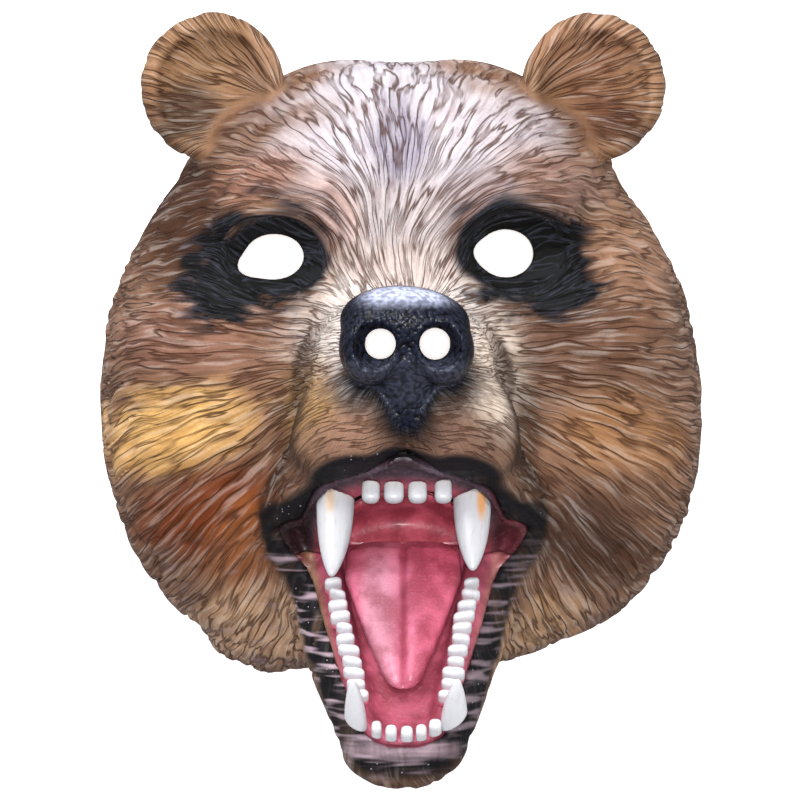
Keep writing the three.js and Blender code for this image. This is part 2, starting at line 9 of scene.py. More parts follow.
import bpy
import numpy as np
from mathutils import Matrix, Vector


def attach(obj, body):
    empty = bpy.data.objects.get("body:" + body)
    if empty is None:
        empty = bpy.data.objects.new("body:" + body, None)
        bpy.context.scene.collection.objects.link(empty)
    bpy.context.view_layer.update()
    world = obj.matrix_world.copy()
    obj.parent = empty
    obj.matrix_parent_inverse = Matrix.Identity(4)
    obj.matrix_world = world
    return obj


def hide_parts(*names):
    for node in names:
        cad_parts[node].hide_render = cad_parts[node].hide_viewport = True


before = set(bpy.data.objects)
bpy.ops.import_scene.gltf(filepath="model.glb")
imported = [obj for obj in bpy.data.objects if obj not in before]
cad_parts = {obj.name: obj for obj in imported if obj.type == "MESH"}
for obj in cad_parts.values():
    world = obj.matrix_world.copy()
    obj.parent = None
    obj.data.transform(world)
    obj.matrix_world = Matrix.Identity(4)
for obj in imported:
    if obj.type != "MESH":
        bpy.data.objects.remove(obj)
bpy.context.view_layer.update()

MM = 0.001

# The mask's form, as in the CAD model
WALL = 2.2
LINING = 2.0
GAP = 0.3
LIP_GAP = 0.3
LIP_ROUND = 2.4
DOME_HEIGHT = 56.0
OUTLINE_CENTRE_Y = 5.0
DOME_PLAN_POWER = 2.8
LEAST_DOME_SLOPE = 0.6
FAR = 60.0
MIDLINE_SOFTNESS = 3.0
EYE_OFFSET = Sizes(x=3.6, level=44.0, spread=17.0, fade_from=45.0, fade_to=85.0)
RIDGE_RADIUS = 4.2
RIDGE_FILLET = 3.0

# Rim outline: angle from the crown, radius from the outline's centre on each side
OUTLINE_ANGLES = np.array([0, 18, 34, 50, 62, 80, 100, 115, 128, 138, 147, 154, 163, 180], float)
OUTLINE_LEFT = np.array([101, 104, 102.5, 95.5, 95, 96, 96, 96.5, 98, 101, 105.5, 104, 97, 92], float)
OUTLINE_RIGHT = np.array([101, 104, 101.5, 93, 93, 93.5, 94.5, 95.5, 95, 97, 97, 97, 96, 92], float)

# Rounded lumps, mirrored in the midline: centre, radii, yaw and roll in degrees, width of the blend
LUMPS = dict(
    forehead=((16, 50, 30), (44, 42, 37), (0, 0), 16),
    brow=((31, 59, 53), (24, 10, 14), (10, -14), 12),
    cheekbone=((50, 16, 38), (30, 22, 20), (22, -20), 18),
    cheek=((50, -14, 24), (42, 58, 31), (16, 0), 18),
    lip_pad=((15.5, -9, 98.5), (17, 18.5, 17), (0, 0), 5),
    nose_top=((0, 21, 112), (19.5, 11, 15), (0, 0), 4),
    nose_wing=((11.5, 13, 118), (8.8, 11, 12), (0, 0), 3),
)
NOSE_LUMPS = ("nose_top", "nose_wing")
# Tapered limbs: from, to, radii, widening across X, width of the blend
MUZZLE = ((0, -4, 24), (0, 7, 87), (40, 23), 1.22, 14)
PHILTRUM = ((0, 9, 110), (0, -5, 109), (12.5, 4.5), 1.0, 3)
FLEW = ((34, -40, 55), (23, -16, 94), (13, 10.5), 1.0, 8)
JAW = ((0, -58, 42), (0, -104, 85), (31, 16), 1.25, 10)
SOCKET = ((36.5, 41, 73), (19, 10.5, 14.5), (-10, -16), 9)
NOSTRIL_CUP = ((9.5, 13.8, 131), (6.6, 7.6, 12), (0, 0))
NOSE_AXIS = Sizes(x=1.1, start=80, end=105)
EAR_CUP = ((60, 96.5, 25), (22.5, 23.2, 11), (0, 0))
EAR_DISH = ((60, 95.5, 35), (18.5, 19, 17), (0, 0))
EAR_BLEND = 5.0
EAR_RIM_BLEND = 4.0

# Holes through the skin: centre, half sizes, angle of the teardrop's point and how far it draws out
EYE_HOLES = (((-39.8, 42.0), (9.2, 7.0), 207, 0.32), ((31.6, 43.0), (8.5, 7.3), 176, 0.16))
NOSTRIL_HOLES = (((-6.8, 14.4), (4.6, 4.5), 0, 0.0), ((9.4, 14.4), (4.6, 4.7), 0, 0.0))
CORNER_SHARPNESS = 8

# The jaws: origin at the back of the mouth and pitch of the biting surface
LOWER = ((0, -46, 52), 34.1)
UPPER = ((0, -43.7, 60), 118.8)
MOUTH_BACK = (0, -47.5, 53)
MOUTH_WALL = Sizes(half=42, top=37, taper=0.44, flare=0.5, depth=16, front=-106.5, front_flare=0.25, round=8)
ARCH = Sizes(half=26, back=58, reach=40, power=2.6, vault=10, drop=0.5, round=6)
LIP_DROP = Sizes(depth=8.0, notch=4.5, reach=12, start=1.1, end=1.26, back=62, front=86)
LOWER_RIDGE = Sizes(round=64, radius=13, spread=0.19, height=1.5)


def join(a, b, blend):
    """Union of two forms with a soft seam."""
    near = np.maximum(blend - np.abs(a - b), 0) / blend
    return np.minimum(a, b) - near * near * blend / 4


def meet(a, b, blend):
    """Intersection of two forms with a soft edge."""
    return -join(-a, -b, blend)


def ease(value, start, end):
    """Smooth step from 0 at the start to 1 at the end."""
    share = np.clip((value - start) / (end - start), 0, 1)
    return share * share * (3 - 2 * share)


def band(value, rise_from, rise_to, fall_from, fall_to):
    """1 between a soft rise and a soft fall, 0 outside them."""
    return ease(value, rise_from, rise_to) * (1 - ease(value, fall_from, fall_to))


def bell(value, centre, half):
    return np.exp(-(((value - centre) / half) ** 2))


def ellipsoid(x, y, z, centre, radii, turn):
    yaw, roll = np.radians(turn)
    dx, dy, dz = x - centre[0], y - centre[1], z - centre[2]
    dx, dz = np.cos(yaw) * dx + np.sin(yaw) * dz, np.cos(yaw) * dz - np.sin(yaw) * dx
    dx, dy = np.cos(roll) * dx + np.sin(roll) * dy, np.cos(roll) * dy - np.sin(roll) * dx
    rx, ry, rz = radii
    size = np.sqrt((dx / rx) ** 2 + (dy / ry) ** 2 + (dz / rz) ** 2) + 1e-9
    slope = np.sqrt((dx / rx**2) ** 2 + (dy / ry**2) ** 2 + (dz / rz**2) ** 2) + 1e-9
    return size * (size - 1) / slope


def limb(x, y, z, start, end, radii, widen):
    px, py, pz = (x - start[0]) / widen, y - start[1], z - start[2]
    dx, dy, dz = (end[0] - start[0]) / widen, end[1] - start[1], end[2] - start[2]
    share = np.clip((px * dx + py * dy + pz * dz) / (dx * dx + dy * dy + dz * dz), 0, 1)
    away = np.sqrt((px - share * dx) ** 2 + (py - share * dy) ** 2 + (pz - share * dz) ** 2)
    return away - (radii[0] + (radii[1] - radii[0]) * share)


def outline_radius(x, up):
    angle = np.degrees(np.arctan2(np.abs(x), up))
    after = np.clip(np.searchsorted(OUTLINE_ANGLES, angle), 1, len(OUTLINE_ANGLES) - 1)
    share = ease(angle, OUTLINE_ANGLES[after - 1], OUTLINE_ANGLES[after])
    left, right = (
        radii[after - 1] + (radii[after] - radii[after - 1]) * share
        for radii in (OUTLINE_LEFT, OUTLINE_RIGHT)
    )
    return np.where(x < 0, left, right)


def dome(x, y, z):
    up = y - OUTLINE_CENTRE_Y
    radius = outline_radius(x, up)
    plan = np.hypot(x, up) / radius
    rise = np.maximum(z, 0) / DOME_HEIGHT
    level = plan**DOME_PLAN_POWER + rise**2
    plan_slope = DOME_PLAN_POWER * plan ** (DOME_PLAN_POWER - 1) / radius
    slope = np.sqrt(plan_slope**2 + (2 * rise / DOME_HEIGHT) ** 2 + (LEAST_DOME_SLOPE / DOME_HEIGHT) ** 2)
    return np.clip((level - 1) / slope, -FAR, FAR)


def eye_shift(x, y):
    near_level = bell(y, EYE_OFFSET.level, EYE_OFFSET.spread)
    fade = EYE_OFFSET.fade_to - EYE_OFFSET.fade_from
    return EYE_OFFSET.x * near_level * np.clip((EYE_OFFSET.fade_to - np.abs(x)) / fade, 0, 1)


def nose_shift(z):
    return NOSE_AXIS.x * ease(z, NOSE_AXIS.start, NOSE_AXIS.end)


def head(px, y, z):
    x = px + eye_shift(px, y) - nose_shift(z)
    side = np.hypot(x, MIDLINE_SOFTNESS)
    form = join(dome(x, y, z), limb(x, y, z, *MUZZLE[:4]), MUZZLE[4])
    for centre, radii, turn, blend in LUMPS.values():
        form = join(form, ellipsoid(side, y, z, centre, radii, turn), blend)
    form = join(form, limb(x, y, z, *PHILTRUM[:4]), PHILTRUM[4])
    form = join(form, limb(side, y, z, *FLEW[:4]), FLEW[4])
    form = meet(form, -ellipsoid(side, y, z, *SOCKET[:3]), SOCKET[3])
    return join(form, limb(x, y, z, *JAW[:4]), JAW[4])


def nose(x, y, z):
    x = x + eye_shift(x, y) - nose_shift(z)
    side = np.hypot(x, MIDLINE_SOFTNESS)
    parts = [ellipsoid(side, y, z, *LUMPS[name][:3]) for name in NOSE_LUMPS]
    return np.minimum.reduce([*parts, limb(x, y, z, *PHILTRUM[:4])])


def ears(x, y, z):
    side = np.abs(x)
    return meet(ellipsoid(side, y, z, *EAR_CUP), -ellipsoid(side, y, z, *EAR_DISH), EAR_RIM_BLEND)


def nostrils(x, y, z):
    return ellipsoid(np.abs(x - NOSE_AXIS.x), y, z, *NOSTRIL_CUP)


def in_jaw(jaw, y, z):
    """Height over a jaw's biting surface, and distance along it from the back."""
    origin, pitch = jaw
    turn = math.radians(pitch)
    dy, dz = y - origin[1], z - origin[2]
    return math.sin(turn) * dy + math.cos(turn) * dz, math.sin(turn) * dz - math.cos(turn) * dy


def arch_size(x, z):
    across = (np.abs(x) / ARCH.half) ** ARCH.power
    forward = (np.maximum(z - ARCH.back, 0) / ARCH.reach) ** ARCH.power
    return (across + forward) ** (1 / ARCH.power)


def mouth(x, y, z):
    height, _ = in_jaw(LOWER, y, z)
    flare = np.minimum(height, MOUTH_WALL.depth) - MOUTH_WALL.depth
    half = MOUTH_WALL.half + MOUTH_WALL.taper * (y - LOWER[0][1])
    half = join(half, MOUTH_WALL.top, MOUTH_WALL.round) + MOUTH_WALL.flare * flare
    front = MOUTH_WALL.front - y - MOUTH_WALL.front_flare * (height - MOUTH_WALL.depth)
    slope = 1 / math.sqrt(1 + MOUTH_WALL.taper**2 + MOUTH_WALL.flare**2)
    opening = meet(-height, front, MOUTH_WALL.round)
    opening = meet(opening, (np.abs(x) - half) * slope, MOUTH_WALL.round)
    arch = arch_size(x, z)
    vault = ARCH.vault * np.maximum(0, 1 - arch**2)
    drop = LIP_DROP.depth - LIP_DROP.notch * (1 - ease(np.abs(x), 0, LIP_DROP.reach))
    drop = drop * ease(arch, LIP_DROP.start, LIP_DROP.end)
    drop = drop * ease(z, LIP_DROP.back, LIP_DROP.front)
    return meet(opening, in_jaw(UPPER, y, z)[0] - vault + drop, ARCH.round)


def upper_ridge(x, y, z):
    off = (arch_size(x, z) - 1) * ARCH.half
    return np.hypot(off, in_jaw(UPPER, y, z)[0] + ARCH.drop) - RIDGE_RADIUS


def beyond_row(x, along):
    """Distance outside the curve that the lower teeth stand on."""
    past = along - LOWER_RIDGE.round
    straight = np.abs(x) - LOWER_RIDGE.radius + past * LOWER_RIDGE.spread
    return np.where(past < 0, straight, np.hypot(x, past) - LOWER_RIDGE.radius)


def lower_ridge(x, y, z):
    height, along = in_jaw(LOWER, y, z)
    return np.hypot(beyond_row(x, along), height - LOWER_RIDGE.height) - RIDGE_RADIUS


def air(x, y, z):
    """Open space of the mouth, over both gum ridges."""
    opening = meet(mouth(x, y, z), -upper_ridge(x, y, z), RIDGE_FILLET)
    return meet(opening, -lower_ridge(x, y, z), RIDGE_FILLET)


def hole(x, y, centre, half, corner, reach):
    dx, dy = (x - centre[0]) / half[0], (y - centre[1]) / half[1]
    turn = np.arctan2(dy, dx)
    pull = 1 + reach * np.maximum(0, np.cos(turn - math.radians(corner))) ** CORNER_SHARPNESS
    return (np.hypot(dx, dy) / pull - 1) * min(half)


def slope_of(form, x, y, z, step=0.25):
    """Gradient of a form and its length."""
    gx = form(x + step, y, z) - form(x - step, y, z)
    gy = form(x, y + step, z) - form(x, y - step, z)
    gz = form(x, y, z + step) - form(x, y, z - step)
    gradient = np.stack([gx, gy, gz], axis=-1) / (2 * step)
    return gradient, np.maximum(np.linalg.norm(gradient, axis=-1), 1e-6)


def grown(form, distance):
    """A form made larger all round by a distance."""
    least_slope = 0.85

    def bigger(x, y, z):
        _, slope = slope_of(form, x, y, z, 0.5)
        return form(x, y, z) - distance * np.maximum(slope, least_slope)

    return bigger


# Meshing
ROUGH_STEP = 4
NEAR_STEPS = 1.8
CORNERS = [(i, j, k) for i in (0, 1) for j in (0, 1) for k in (0, 1)]
QUAD_STEPS = ((-1, -1), (0, -1), (0, 0), (-1, 0))
SMOOTH_ANGLE = math.radians(50)


def sample(form, axes, cell):
    """Values of a form on a grid: exact near its surface, rough elsewhere."""
    full = form(*np.meshgrid(*(axis[::ROUGH_STEP] for axis in axes), indexing="ij"))
    for d, axis in enumerate(axes):
        nearest = (np.arange(len(axis)) + ROUGH_STEP // 2) // ROUGH_STEP
        full = np.take(full, np.minimum(nearest, full.shape[d] - 1), axis=d)
    near = np.nonzero(np.abs(full) < NEAR_STEPS * ROUGH_STEP * cell)
    full[near] = form(*(axis[index] for axis, index in zip(axes, near)))
    return full


def crossing_points(values, axes, cells):
    """Mean of the points where the surface crosses the edges of each cell."""
    total = np.zeros((len(cells), 3))
    crossings = np.zeros(len(cells))
    for corner in CORNERS:
        for d in range(3):
            if corner[d]:
                continue
            a = cells + corner
            b = a.copy()
            b[:, d] += 1
            va, vb = values[tuple(a.T)], values[tuple(b.T)]
            crossed = (va < 0) != (vb < 0)
            share = np.where(crossed, va / np.where(crossed, va - vb, 1), 0)
            place = np.stack([axes[e][a[:, e]] for e in range(3)], axis=1)
            place[:, d] += share * (axes[d][b[:, d]] - axes[d][a[:, d]])
            total += place * crossed[:, None]
            crossings += crossed
    return total / crossings[:, None]


def crossing_quads(inside, number):
    """Quads that join the cells round each grid edge that the surface crosses."""
    part = number.shape
    quads = []
    for d in range(3):
        u, v = (d + 1) % 3, (d + 2) % 3
        layers = np.moveaxis(inside, d, 0)
        edges = np.argwhere(layers[:-1] != layers[1:])
        at = np.zeros_like(edges)
        at[:, [d, *(e for e in range(3) if e != d)]] = edges
        at = at[(at[:, u] > 0) & (at[:, v] > 0) & (at[:, u] < part[u]) & (at[:, v] < part[v])]
        quad = []
        for du, dv in QUAD_STEPS:
            cell = at.copy()
            cell[:, u] += du
            cell[:, v] += dv
            quad.append(number[tuple(cell.T)])
        quad = np.stack(quad, axis=1)
        flip = ~inside[tuple(at.T)]
        quad[flip] = quad[flip][:, ::-1]
        quads.append(quad)
    return np.concatenate(quads)


def surface(form, low, high, cell):
    """Vertices and quads of the surface where a form is zero; it is closed at the edge of the grid."""
    axes = [np.linspace(a, b, int(round((b - a) / cell)) + 1) for a, b in zip(low, high)]
    values = sample(form, axes, cell)
    for d in range(3):
        edge = np.moveaxis(values, d, 0)
        edge[[0, -1]] = np.maximum(edge[[0, -1]], cell / 2)
    inside = values < 0
    part = tuple(np.array(values.shape) - 1)
    count = np.zeros(part, np.int8)
    for i, j, k in CORNERS:
        count += inside[i : i + part[0], j : j + part[1], k : k + part[2]]
    cells = np.argwhere((count > 0) & (count < len(CORNERS)))
    number = np.full(part, -1, np.int32)
    number[tuple(cells.T)] = np.arange(len(cells))
    return crossing_points(values, axes, cells), crossing_quads(inside, number)


def settle(form, points, rounds=3, reach=0.6):
    """Moves vertices onto the form's own surface."""
    for _ in range(rounds):
        gradient, slope = slope_of(form, *points.T)
        move = np.clip(form(*points.T) / slope, -reach, reach)
        points = points - gradient / slope[:, None] * move[:, None]
    return points


def new_object(name, points, quads):
    mesh = bpy.data.meshes.new(name)
    mesh.vertices.add(len(points))
    mesh.vertices.foreach_set("co", (points * MM).astype(np.float32).ravel())
    mesh.loops.add(quads.size)
    mesh.loops.foreach_set("vertex_index", quads.astype(np.int32).ravel())
    mesh.polygons.add(len(quads))
    mesh.polygons.foreach_set("loop_start", np.arange(len(quads), dtype=np.int32) * 4)
    mesh.update(calc_edges=True)
    mesh.validate()
    smooth(mesh)
    piece = bpy.data.objects.new(name, mesh)
    bpy.context.scene.collection.objects.link(piece)
    return piece


def smooth(mesh):
    mesh.polygons.foreach_set("use_smooth", np.ones(len(mesh.polygons), bool))
    mesh.set_sharp_from_angle(angle=SMOOTH_ANGLE)


def points_of(piece):
    place = np.empty(len(piece.data.vertices) * 3, np.float32)
    piece.data.vertices.foreach_get("co", place)
    return place.reshape(-1, 3).astype(float) / MM


def set_vector(piece, name, *columns):
    values = np.stack(np.broadcast_arrays(*columns), axis=1).astype(np.float32)
    piece.data.attributes.new(name, "FLOAT_VECTOR", "POINT").data.foreach_set("vector", values.ravel())


def set_colour(piece, name, values):
    full = np.ones((len(values), 4), np.float32)
    full[:, : values.shape[1]] = values
    piece.data.attributes.new(name, "FLOAT_COLOR", "POINT").data.foreach_set("color", full.ravel())


def subtract(piece, cutter):
    cut = piece.modifiers.new("cut", "BOOLEAN")
    cut.operation = "DIFFERENCE"
    cut.solver = "MANIFOLD"
    cut.object = cutter
    graph = bpy.context.evaluated_depsgraph_get()
    mesh = bpy.data.meshes.new_from_object(piece.evaluated_get(graph))
    piece.modifiers.clear()
    old = piece.data
    piece.data = mesh
    mesh.name = piece.name
    bpy.data.meshes.remove(old)
    bpy.data.objects.remove(cutter)


# Fur
def scramble(i, j, k, seed):
    """Repeatable noise from 0 to 1 for whole numbers, by an integer hash."""
    with np.errstate(over="ignore"):
        n = i.astype(np.int64).astype(np.uint32) * np.uint32(374761393)
        n += j.astype(np.int64).astype(np.uint32) * np.uint32(668265263)
        n += k.astype(np.int64).astype(np.uint32) * np.uint32(2147483647) + np.uint32(seed * 144665 + 7)
        n = (n ^ (n >> np.uint32(13))) * np.uint32(1274126177)
        n = (n ^ (n >> np.uint32(16))) * np.uint32(2246822519)
        n ^= n >> np.uint32(15)
    return n / 4294967295.0


def noise(x, y, z, seed):
    """Smooth noise from -1 to 1 with features about one unit across."""
    ix, iy, iz = np.floor(x), np.floor(y), np.floor(z)
    fx, fy, fz = ease(x - ix, 0, 1), ease(y - iy, 0, 1), ease(z - iz, 0, 1)
    total = 0
    for i, j, k in CORNERS:
        weight = (fx if i else 1 - fx) * (fy if j else 1 - fy) * (fz if k else 1 - fz)
        total = total + weight * scramble(ix + i, iy + j, iz + k, seed)
    return total * 2 - 1


def blotches(x, y, z, size, seed):
    return noise(x / size, y / size, z / size, seed)


# Course of the hair: its start on the nose, its parting round the eyes and its bend on cheeks and brow
COMB_START_Y = 16.0
NOSE_Z = 118.0
RUN_DEPTH = 0.9
EYE_PART = (15.0, 12.0)
EYE_PART_PULL = 0.9
FOREHEAD_FAN = 30.0
BEND_CHEEK = 0.0015
BEND_BROW = 0.0055
BEND_RISE = 40.0
# Waves in the hair: size and swing
WAVES = ((17.0, 1.7), (7.0, 0.7))
HAIR_DENSITY = (1 / 250, 1 / 12)
HAIR_WIDTH = Sizes(least=1.0, growth=2.2, runs=(30, 120), brow_loss=0.5, brows=(30, 70))
LOCK_ROWS = Sizes(count=7.0, first=14.0, side_run=168.0, side_pitch=0.03)
EAR_HAIR = Sizes(root_x=37.0, root_y=91.0, run=60.0, stretch=1.2, least_away=10.0, width=2.4)
EAR_FOOT_Y = 60.0
EAR_PROUD = 1.0
STRAND_SCALES = (8.0, 16.0, 32.0, 64.0)
SCALE_OVERLAP = (0.3, 0.7)
LEAST_WEIGHT = 0.01
# Layers of locks: strands and rows as shares of the scale, groove, share of the height, noise seed
LOCK_LAYERS = ((0.75, 1.0, 0.18, 0.65, 11), (0.3, 0.6, 0.3, 0.35, 15))


def bearing(x, y):
    """Direction of the hair as an angle round the nose, parted round the eyes and fanned on the forehead."""
    x = x + eye_shift(x, y)
    for (eye_x, eye_y), *_ in EYE_HOLES:
        eye_x = eye_x + EYE_OFFSET.x
        dx, dy = x - eye_x, y - eye_y
        size = (dx / EYE_PART[0]) ** 2 + (dy / EYE_PART[1]) ** 2
        keep = 1 - EYE_PART_PULL / np.maximum(size, 1)
        x, y = eye_x + dx * keep, eye_y + dy * keep
    rise = y - COMB_START_Y
    bend = BEND_CHEEK + (BEND_BROW - BEND_CHEEK) * ease(rise, 0, BEND_RISE)
    up = rise + bend * x * x
    return np.arctan2(up * (1 + np.maximum(up, 0) / FOREHEAD_FAN), x)


def on_ear(x, y, z):
    return (ears(x, y, z) < head(x, y, z) - EAR_PROUD) & (y > EAR_FOOT_Y)


def comb(x, y, z):
    """Strand coordinates: bearing, row of locks, run in mm from the nose and strands per radian."""
    angle = bearing(x, y)
    step = 0.5
    gx = np.sin(bearing(x + step, y) - angle) / step
    gy = np.sin(bearing(x, y + step) - angle) / step
    run = np.hypot(x, y - COMB_START_Y) + RUN_DEPTH * np.maximum(NOSE_Z - z, 0)
    density = np.clip(np.hypot(gx, gy), *HAIR_DENSITY)
    width = HAIR_WIDTH.least + HAIR_WIDTH.growth * ease(run, *HAIR_WIDTH.runs)
    width = width - HAIR_WIDTH.brow_loss * ease(y, *HAIR_WIDTH.brows)
    ear = on_ear(x, y, z)
    ear_x, ear_y = x - np.sign(x) * EAR_HAIR.root_x, y - EAR_HAIR.root_y
    ear_away = np.hypot(ear_x, ear_y)
    angle = np.where(ear, np.arctan2(ear_y, ear_x), angle)
    run = np.where(ear, EAR_HAIR.run + EAR_HAIR.stretch * ear_away + z, run)
    density = np.where(ear, 1 / np.maximum(ear_away, EAR_HAIR.least_away), density)
    width = np.where(ear, EAR_HAIR.width, width)
    for seed, (size, swing) in enumerate(WAVES, 3):
        angle = angle + swing * density * blotches(x, y, z, size, seed)
    rows = LOCK_ROWS.count * np.log(1 + run / LOCK_ROWS.first)
    rows = rows + LOCK_ROWS.side_pitch * np.maximum(run - LOCK_ROWS.side_run, 0)
    return angle, rows, run, 1 / (width * density)


def scale_weights(strands):
    level = np.log2(np.clip(strands, STRAND_SCALES[0], STRAND_SCALES[-1]) / STRAND_SCALES[0])
    return [ease(1 - np.abs(level - i), *SCALE_OVERLAP) for i in range(len(STRAND_SCALES))]


def ridges(angle, rows, scale, groove, seed):
    level = noise(np.cos(angle) * scale, np.sin(angle) * scale, rows, seed)
    return 1 - bell(level, 0, groove)


def fur_height(angle, rows, strands):
    """Height of wavy tapered locks, 0 in the thin grooves to 1 on the crests."""
    height = 0
    for i, (scale, weight) in enumerate(zip(STRAND_SCALES, scale_weights(strands))):
        used = weight > LEAST_WEIGHT
        locks = np.zeros_like(angle)
        for across, along, groove, share, seed in LOCK_LAYERS:
            locks[used] += share * ridges(angle[used], along * rows[used], across * scale, groove, seed + i)
        height = height + weight * locks
    return height


# Skin
SKIN_CELL = 1.12
SKIN_BOX = ((-104, -124, -1.2), (104, 123, 133))
INNER_CELL = 4.0
INNER_BOX = ((-104, -124, -12), (104, 112, 133))
EYE_BACK_Z = 20
NOSTRIL_BACK_Z = 96
NOSTRIL_ROUND = 1.6
HOLE_ROUND = 1.0
NOSE_EDGE = (0.6, 3.0)
# Width of the black round the mouth by height on the face, and the shares of it where it fades
LIP_LEVELS = (-110, -75, -50, -40, -30, -22, -15)
LIP_WIDTHS = (12, 11, 8, 5.6, 4.4, 2.8, 2.1)
LIP_FADE = (0.62, 1.25)
LIP_FOLDS = Sizes(slant=0.35, pitch=2.6, depth=9, across=14, levels=(20, 45), fronts=(4, 12))
# Fur relief in mm, what is lost of it on the lips and in the ears' seams, and what is kept by the eyes
FUR_DEPTH = Sizes(least=0.15, growth=1.35, runs=(35, 120), ear=0.55, rim=3, middle=0.6)
FUR_LOSS = Sizes(lips=0.8, seam=0.9, seam_edge=(0.5, 4), kept_at_eye=0.25, eye_gaps=(0.5, 5))
STEM = Sizes(depth=0.9, half=0.9, fronts=(100, 108), levels=(6, 10))
FURROW = Sizes(depth=1.3, x=-1.5, half=2.0, levels=(50, 75, 90, 104))
NUB = Sizes(height=1.8, x=-23.3, y=63, half_x=2.6, half_y=1.6)
BROW_FRONTS = (20, 40)
SEAM_FADE = 10


def bare_skin(x, y, z):
    """Outside of the mask before the fur, with the mouth, eyes and nostrils open."""
    form = join(head(x, y, z), ears(x, y, z), EAR_BLEND)
    form = meet(form, -nostrils(x, y, z), NOSTRIL_ROUND)
    form = meet(form, -grown(mouth, LINING + LIP_GAP)(x, y, z), LIP_ROUND)
    for holes, back in ((EYE_HOLES, EYE_BACK_Z), (NOSTRIL_HOLES, NOSTRIL_BACK_Z)):
        for sizes in holes:
            form = meet(form, -np.maximum(hole(x, y, *sizes), back - z), HOLE_ROUND)
    return np.maximum(form, -z)


def hollow(x, y, z):
    return meet(grown(head, -WALL)(x, y, z), WALL - nostrils(x, y, z), HOLE_ROUND)


def outside(x, y, z):
    """1 on the outside of the skin, 0 on the inside of its wall."""
    return ease(head(x, y, z), -WALL, 1 - WALL)


def on_nose(x, y, z):
    return 1 - ease(nose(x, y, z), *NOSE_EDGE)


def from_lip(x, y, z):
    return mouth(x, y, z) - LINING - LIP_GAP


def on_lips(x, y, z):
    return 1 - ease(from_lip(x, y, z) / np.interp(y, LIP_LEVELS, LIP_WIDTHS), *LIP_FADE)


def lip_folds(x, y, z):
    """Pleats across the lower lip."""
    level = (y + LIP_FOLDS.slant * np.abs(x)) / LIP_FOLDS.pitch
    folds = noise(level, z / LIP_FOLDS.depth, np.abs(x) / LIP_FOLDS.across, seed=21)
    return folds * ease(-y, *LIP_FOLDS.levels) * ease(z, *LIP_FOLDS.fronts)


def eye_gap(x, y):
    """Distance outside the nearest eye hole."""
    return np.minimum.reduce([hole(x, y, *eye) for eye in EYE_HOLES])


def in_ear_seam(x, y, z, offset, edge):
    seam = np.abs(ears(x, y, z) - head(x, y, z) + offset)
    return (1 - ease(seam, *edge)) * ease(y, EAR_FOOT_Y, EAR_FOOT_Y + SEAM_FADE)


def relief(x, y, z):
    """Height of the fur, lip pleats, forehead furrow, brow nub and nose stem over the bare skin."""
    angle, rows, run, strands = comb(x, y, z)
    lips = on_lips(x, y, z)
    depth = FUR_DEPTH.least + FUR_DEPTH.growth * ease(run, *FUR_DEPTH.runs)
    depth = depth * (1 - on_nose(x, y, z)) * (1 - FUR_LOSS.lips * lips)
    depth = depth * ease(z, 0, FUR_DEPTH.rim) * outside(x, y, z)
    kept = FUR_LOSS.kept_at_eye
    depth = depth * (kept + (1 - kept) * ease(eye_gap(x, y), *FUR_LOSS.eye_gaps))
    depth = depth * (1 - FUR_LOSS.seam * in_ear_seam(x, y, z, 0, FUR_LOSS.seam_edge))
    depth = depth * np.where(on_ear(x, y, z), FUR_DEPTH.ear, 1)
    fur = (fur_height(angle, rows, strands) - FUR_DEPTH.middle) * depth
    stem = bell(x, NOSE_AXIS.x, STEM.half) * ease(z, *STEM.fronts) * (1 - ease(y, *STEM.levels))
    furrow = bell(x, FURROW.x, FURROW.half) * band(y, *FURROW.levels)
    nub = bell(x, NUB.x, NUB.half_x) * bell(y, NUB.y, NUB.half_y)
    brow = (NUB.height * nub - FURROW.depth * furrow) * ease(z, *BROW_FRONTS)
    return fur + lip_folds(x, y, z) * lips + brow - STEM.depth * stem


def make_skin():
    points, quads = surface(bare_skin, *SKIN_BOX, SKIN_CELL)
    points = settle(bare_skin, points)
    points[:, 2] = np.maximum(points[:, 2], 0)
    gradient, slope = slope_of(bare_skin, *points.T)
    points = points + gradient / slope[:, None] * relief(*points.T)[:, None]
    piece = new_object("bear_skin", points, quads)
    inner, inner_quads = surface(hollow, *INNER_BOX, INNER_CELL)
    inner = settle(hollow, inner, rounds=2, reach=1.5)
    subtract(piece, new_object("hollow", inner, inner_quads))
    smooth(piece.data)
    return piece


# Paint
BASE_FUR = (150, 112, 88)
FUR_SHADE = 0.66
INSIDE_LATEX = (176, 150, 118)
